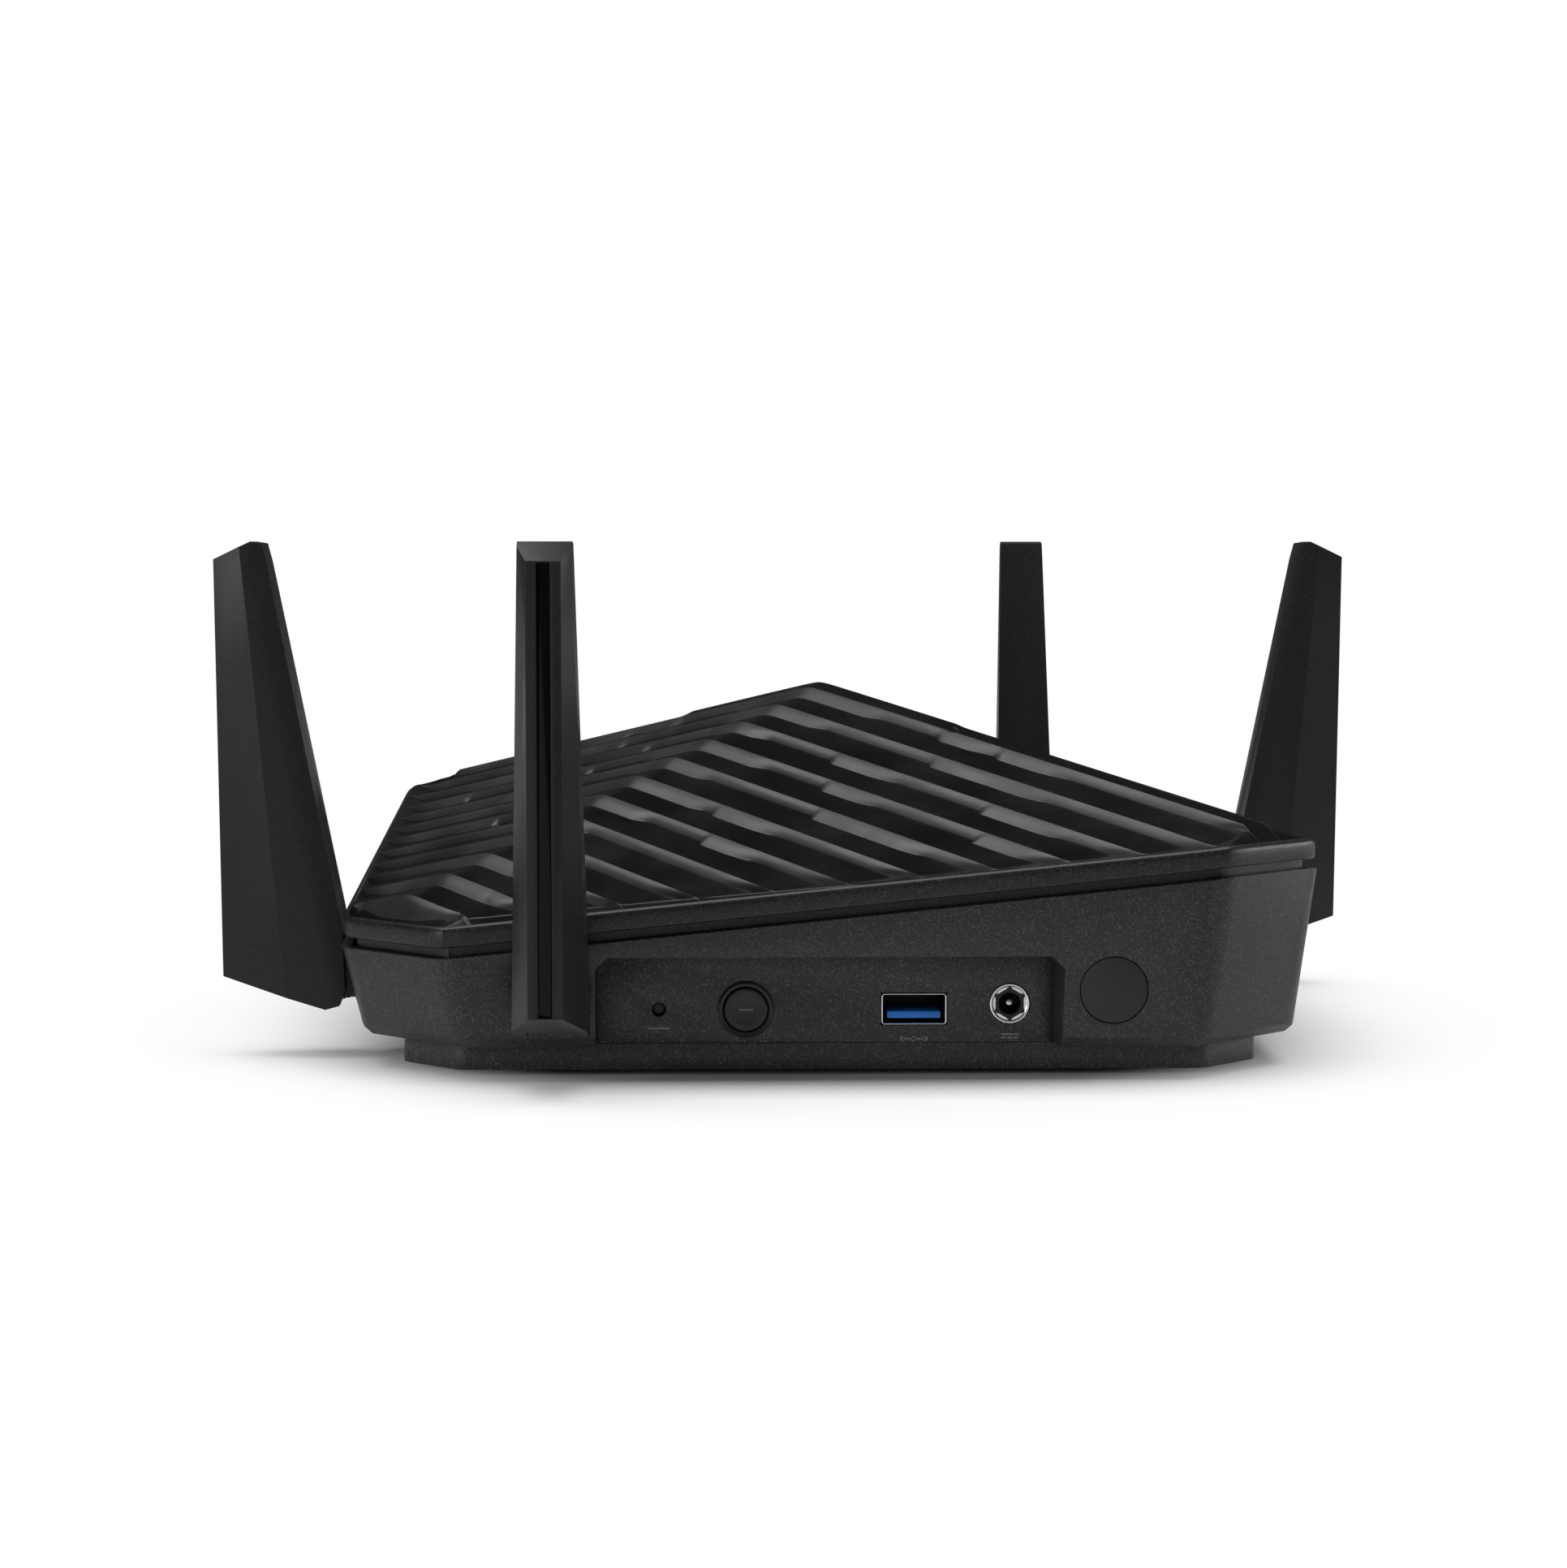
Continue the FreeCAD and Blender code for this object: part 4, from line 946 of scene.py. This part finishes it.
    def bar(self, node: str, right: float, up: float, half_width: float, half_height: float) -> None:
        """Adds one flat printed bar.

        Args:
            node: the CAD node whose middle it is placed from.
            right: its distance to the right, in millimetres.
            up: its distance upward, in millimetres.
            half_width: half its width, in millimetres.
            half_height: half its height, in millimetres.
        """
        level = self.face - 0.02 * MM
        low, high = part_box(node)
        x = (low.x + high.x) / 2 + right * MM
        z = (low.z + high.z) / 2 + up * MM
        start = Vector((x - half_width * MM, level, z - half_height * MM))
        end = Vector((x + half_width * MM, level + 0.06 * MM, z + half_height * MM))
        name = "mark_%s_%d" % (node, len(self.made))
        self.made.append(slab(name, start, end, 0.012 * MM, self.paints.mark, "root"))


SOCKET_NODES = ("wan_socket", "lan_socket_1", "lan_socket_2", "lan_socket_3", "lan_socket_4")


class NetworkSockets:
    """Gold contacts and lamp windows in the five network sockets."""

    def __init__(self, paints: Paints) -> None:
        """Args:
            paints: the materials.
        """
        self.paints = paints

    def centres(self) -> list[float]:
        """Returns: the sockets' places along the left side."""
        boxes = [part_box(label) for label in SOCKET_NODES]
        return [(low.y + high.y) / 2 for low, high in boxes]

    def build(self) -> None:
        """Makes the contacts and lamps of every socket."""
        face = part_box(SOCKET_NODES[0])[0].x
        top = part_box(SOCKET_NODES[0])[0].z
        for number, y in enumerate(self.centres()):
            for wire in range(8):
                place = y + (wire - 3.5) * 1.02 * MM
                low = Vector((face + 3 * MM, place - 0.2 * MM, top + 11.0 * MM))
                high = Vector((face + 12 * MM, place + 0.2 * MM, top + 11.45 * MM))
                slab("contact_%d_%d" % (number, wire), low, high, 0.03 * MM, self.paints.gold,
                     "root")
            for sign in (-1, 1):
                place = y + sign * 4.6 * MM
                low = Vector((face - 0.04 * MM, place - 1.2 * MM, top + 1.3 * MM))
                high = Vector((face + 0.4 * MM, place + 1.2 * MM, top + 2.6 * MM))
                slab("lamp_%d_%d" % (number, (sign + 1) // 2), low, high, 0.05 * MM, self.paints.mark, "root")


# -----------------------------------------------------------------------------
# CAD nodes that stay
# -----------------------------------------------------------------------------


def dress_nodes(paints: Paints) -> None:
    """Gives every CAD node that stays its material and soft edges."""
    paint_node("housing", paints.shell, 0.5 * MM)
    # The bottom plate and the two panels take the lighter copy of the shell plastic, which paints in light
    # that they don't receive.
    paint_node("bottom_plate", paints.panel, 0.12 * MM)
    paint_node("port_panel", paints.panel, 0.04 * MM)
    paint_node("network_panel", paints.panel, 0.04 * MM)
    paint_node("blank_cap_front", paints.cap, 0.25 * MM)
    paint_node("blank_cap_left", paints.cap, 0.25 * MM)
    paint_node("rubber_feet", paints.rubber, 0.3 * MM)
    paint_node("base_screws", paints.steel, 0.2 * MM)
    paint_node("board_screws", paints.steel, 0.2 * MM)
    paint_node("main_board", paints.board)
    paint_node("shield_can_main", paints.tin, 0.25 * MM)
    paint_node("shield_can_radio", paints.tin, 0.25 * MM)
    paint_node("thermal_pad", paints.pad, 0.2 * MM)
    paint_node("heat_sink", paints.aluminium, 0.2 * MM)
    for label in SOCKET_NODES:
        paint_node(label, paints.inner, 0.15 * MM)
    paint_node("jack_body", paints.inner, 0.15 * MM)
    paint_node("reset_plunger", paints.inner, 0.2 * MM)
    paint_node("pairing_switch", paints.inner, 0.15 * MM)
    paint_node("reset_switch", paints.inner, 0.15 * MM)
    for side in Side:
        paint_node("swivel_" + side.label, paints.antenna, 0.35 * MM)
        paint_node("swivel_nut_" + side.label, paints.inner, 0.3 * MM)
        paint_node("blade_" + side.label, paints.antenna, 0.42 * MM, 8.0)
        paint_node("strip_" + side.label, paints.strip, 0.12 * MM)
        paint_node("element_" + side.label, paints.board)
        paint_node("hinge_pin_" + side.label, paints.steel, 0.15 * MM)
        paint_node("antenna_lead_" + side.label, paints.inner)


# -----------------------------------------------------------------------------
# Stage
# -----------------------------------------------------------------------------


@dataclass(frozen=True)
class Studio:
    """A pale floor, soft lights and the camera."""

    camera_place: tuple[float, float, float] = (-23.4 * MM, -790.9 * MM, 109.8 * MM)
    camera_tilt: float = 0.0704
    camera_turn: float = -0.0190
    camera_lens: float = 78.57
    floor_half: float = 6.0

    def build(self) -> None:
        """Makes everything around the router."""
        self.camera()
        self.floor()
        self.lights()
        self.world()
        bpy.context.scene.view_settings.view_transform = "Standard"

    def camera(self) -> None:
        """The camera, level with the antenna tips and looking slightly down."""
        data = bpy.data.cameras.new("camera")
        data.lens = self.camera_lens
        data.sensor_width = 36.0
        data.sensor_fit = "HORIZONTAL"
        data.clip_start = 0.01
        item = bpy.data.objects.new("camera", data)
        item.location = self.camera_place
        item.rotation_euler = (math.pi / 2 - self.camera_tilt, 0, self.camera_turn)
        bpy.context.scene.collection.objects.link(item)
        bpy.context.scene.camera = item

    def floor(self) -> None:
        """A wide pale floor that glows faintly far away, so that it meets the white background."""
        builder = bmesh.new()
        bmesh.ops.create_grid(builder, x_segments=1, y_segments=1, size=self.floor_half)
        mesh = bpy.data.meshes.new("floor")
        builder.to_mesh(mesh)
        builder.free()
        material = bpy.data.materials.new("floor")
        material.use_nodes = True
        graph = Graph(material.node_tree)
        place = graph.place()
        distance = graph.add("ShaderNodeVectorMath", {0: place}, "Value", operation="LENGTH")
        far = graph.ramp(distance, 0.10, 0.165)
        paper = graph.add("ShaderNodeBsdfDiffuse", {"Color": (0.97, 0.97, 0.97, 1.0)}, "BSDF")
        seen = graph.add("ShaderNodeLightPath", {}, "Is Camera Ray")
        strength = graph.ramp(seen, 0.0, 1.0, 0.62, 1.0)
        glow = graph.add("ShaderNodeEmission",
                         {"Color": WHITE, "Strength": strength}, "Emission")
        _finish(graph, graph.add("ShaderNodeMixShader", {0: far, 1: paper, 2: glow}, "Shader"))
        mesh.materials.append(material)
        item = bpy.data.objects.new("floor", mesh)
        bpy.context.scene.collection.objects.link(item)

    def lights(self) -> None:
        """A large soft box above and behind, and two weak ones at the sides."""
        self.soft_box("top_box", (0.0, 0.05, 1.15), (0.0, 0.0, 0.0), (1.7, 0.8), 15.0)
        self.soft_box("left_box", (-1.15, -0.75, 0.30), (0.0, 0.0, 0.06), (0.5, 0.5), 3.2)
        self.soft_box("right_box", (1.15, 0.18, 0.22), (0.09, -0.09, 0.04), (0.4, 0.3), 2.6)

    def soft_box(self, name: str, place: Sequence[float], aim: Sequence[float], extent: tuple[float, float],
                 power: float) -> None:
        """Adds one area light.

        Args:
            name: the light's name.
            place: where it hangs.
            aim: the point that it faces.
            extent: its width and height.
            power: its power in watts.
        """
        data = bpy.data.lights.new(name, "AREA")
        data.shape = "RECTANGLE"
        data.size, data.size_y = extent
        data.energy = power
        item = bpy.data.objects.new(name, data)
        item.location = place
        direction = Vector(aim) - Vector(place)
        item.rotation_euler = direction.to_track_quat("-Z", "Y").to_euler()
        bpy.context.scene.collection.objects.link(item)

    def world(self) -> None:
        """White behind the object, and a dimmer surround, brighter in front, for light and reflections."""
        world = bpy.data.worlds.new("studio")
        bpy.context.scene.world = world
        world.use_nodes = True
        graph = Graph(world.node_tree)
        direction = graph.add("ShaderNodeTexCoord", {}, "Generated")
        parts = graph.tree.nodes.new("ShaderNodeSeparateXYZ")
        graph.tree.links.new(direction.socket, parts.inputs[0])
        toward = Wire(graph, parts.outputs[1])
        strength = graph.ramp(toward, -0.9, 0.5, 0.16, 0.06)
        seen = graph.add("ShaderNodeLightPath", {}, "Is Camera Ray")
        dim = graph.add("ShaderNodeBackground",
                        {"Color": WHITE, "Strength": strength}, "Background")
        white = graph.add("ShaderNodeBackground",
                          {"Color": WHITE, "Strength": 1.0}, "Background")
        mixed = graph.add("ShaderNodeMixShader", {0: seen, 1: dim, 2: white}, "Shader")
        output = graph.tree.nodes.new("ShaderNodeOutputWorld")
        graph.tree.links.new(mixed.socket, output.inputs["Surface"])


def main() -> None:
    """Builds the stage, the materials and every piece, in order."""
    logging.basicConfig(level=logging.INFO)
    Studio().build()
    paints = Paints()
    LOG.info("materials ready")
    dress_nodes(paints)
    LOG.info("nodes dressed")
    Cover(RoofShape(), paints).build()
    LOG.info("cover built")
    Ports(paints).build()
    NetworkSockets(paints).build()
    LOG.info("ports built")


if __name__ == "__main__":
    main()
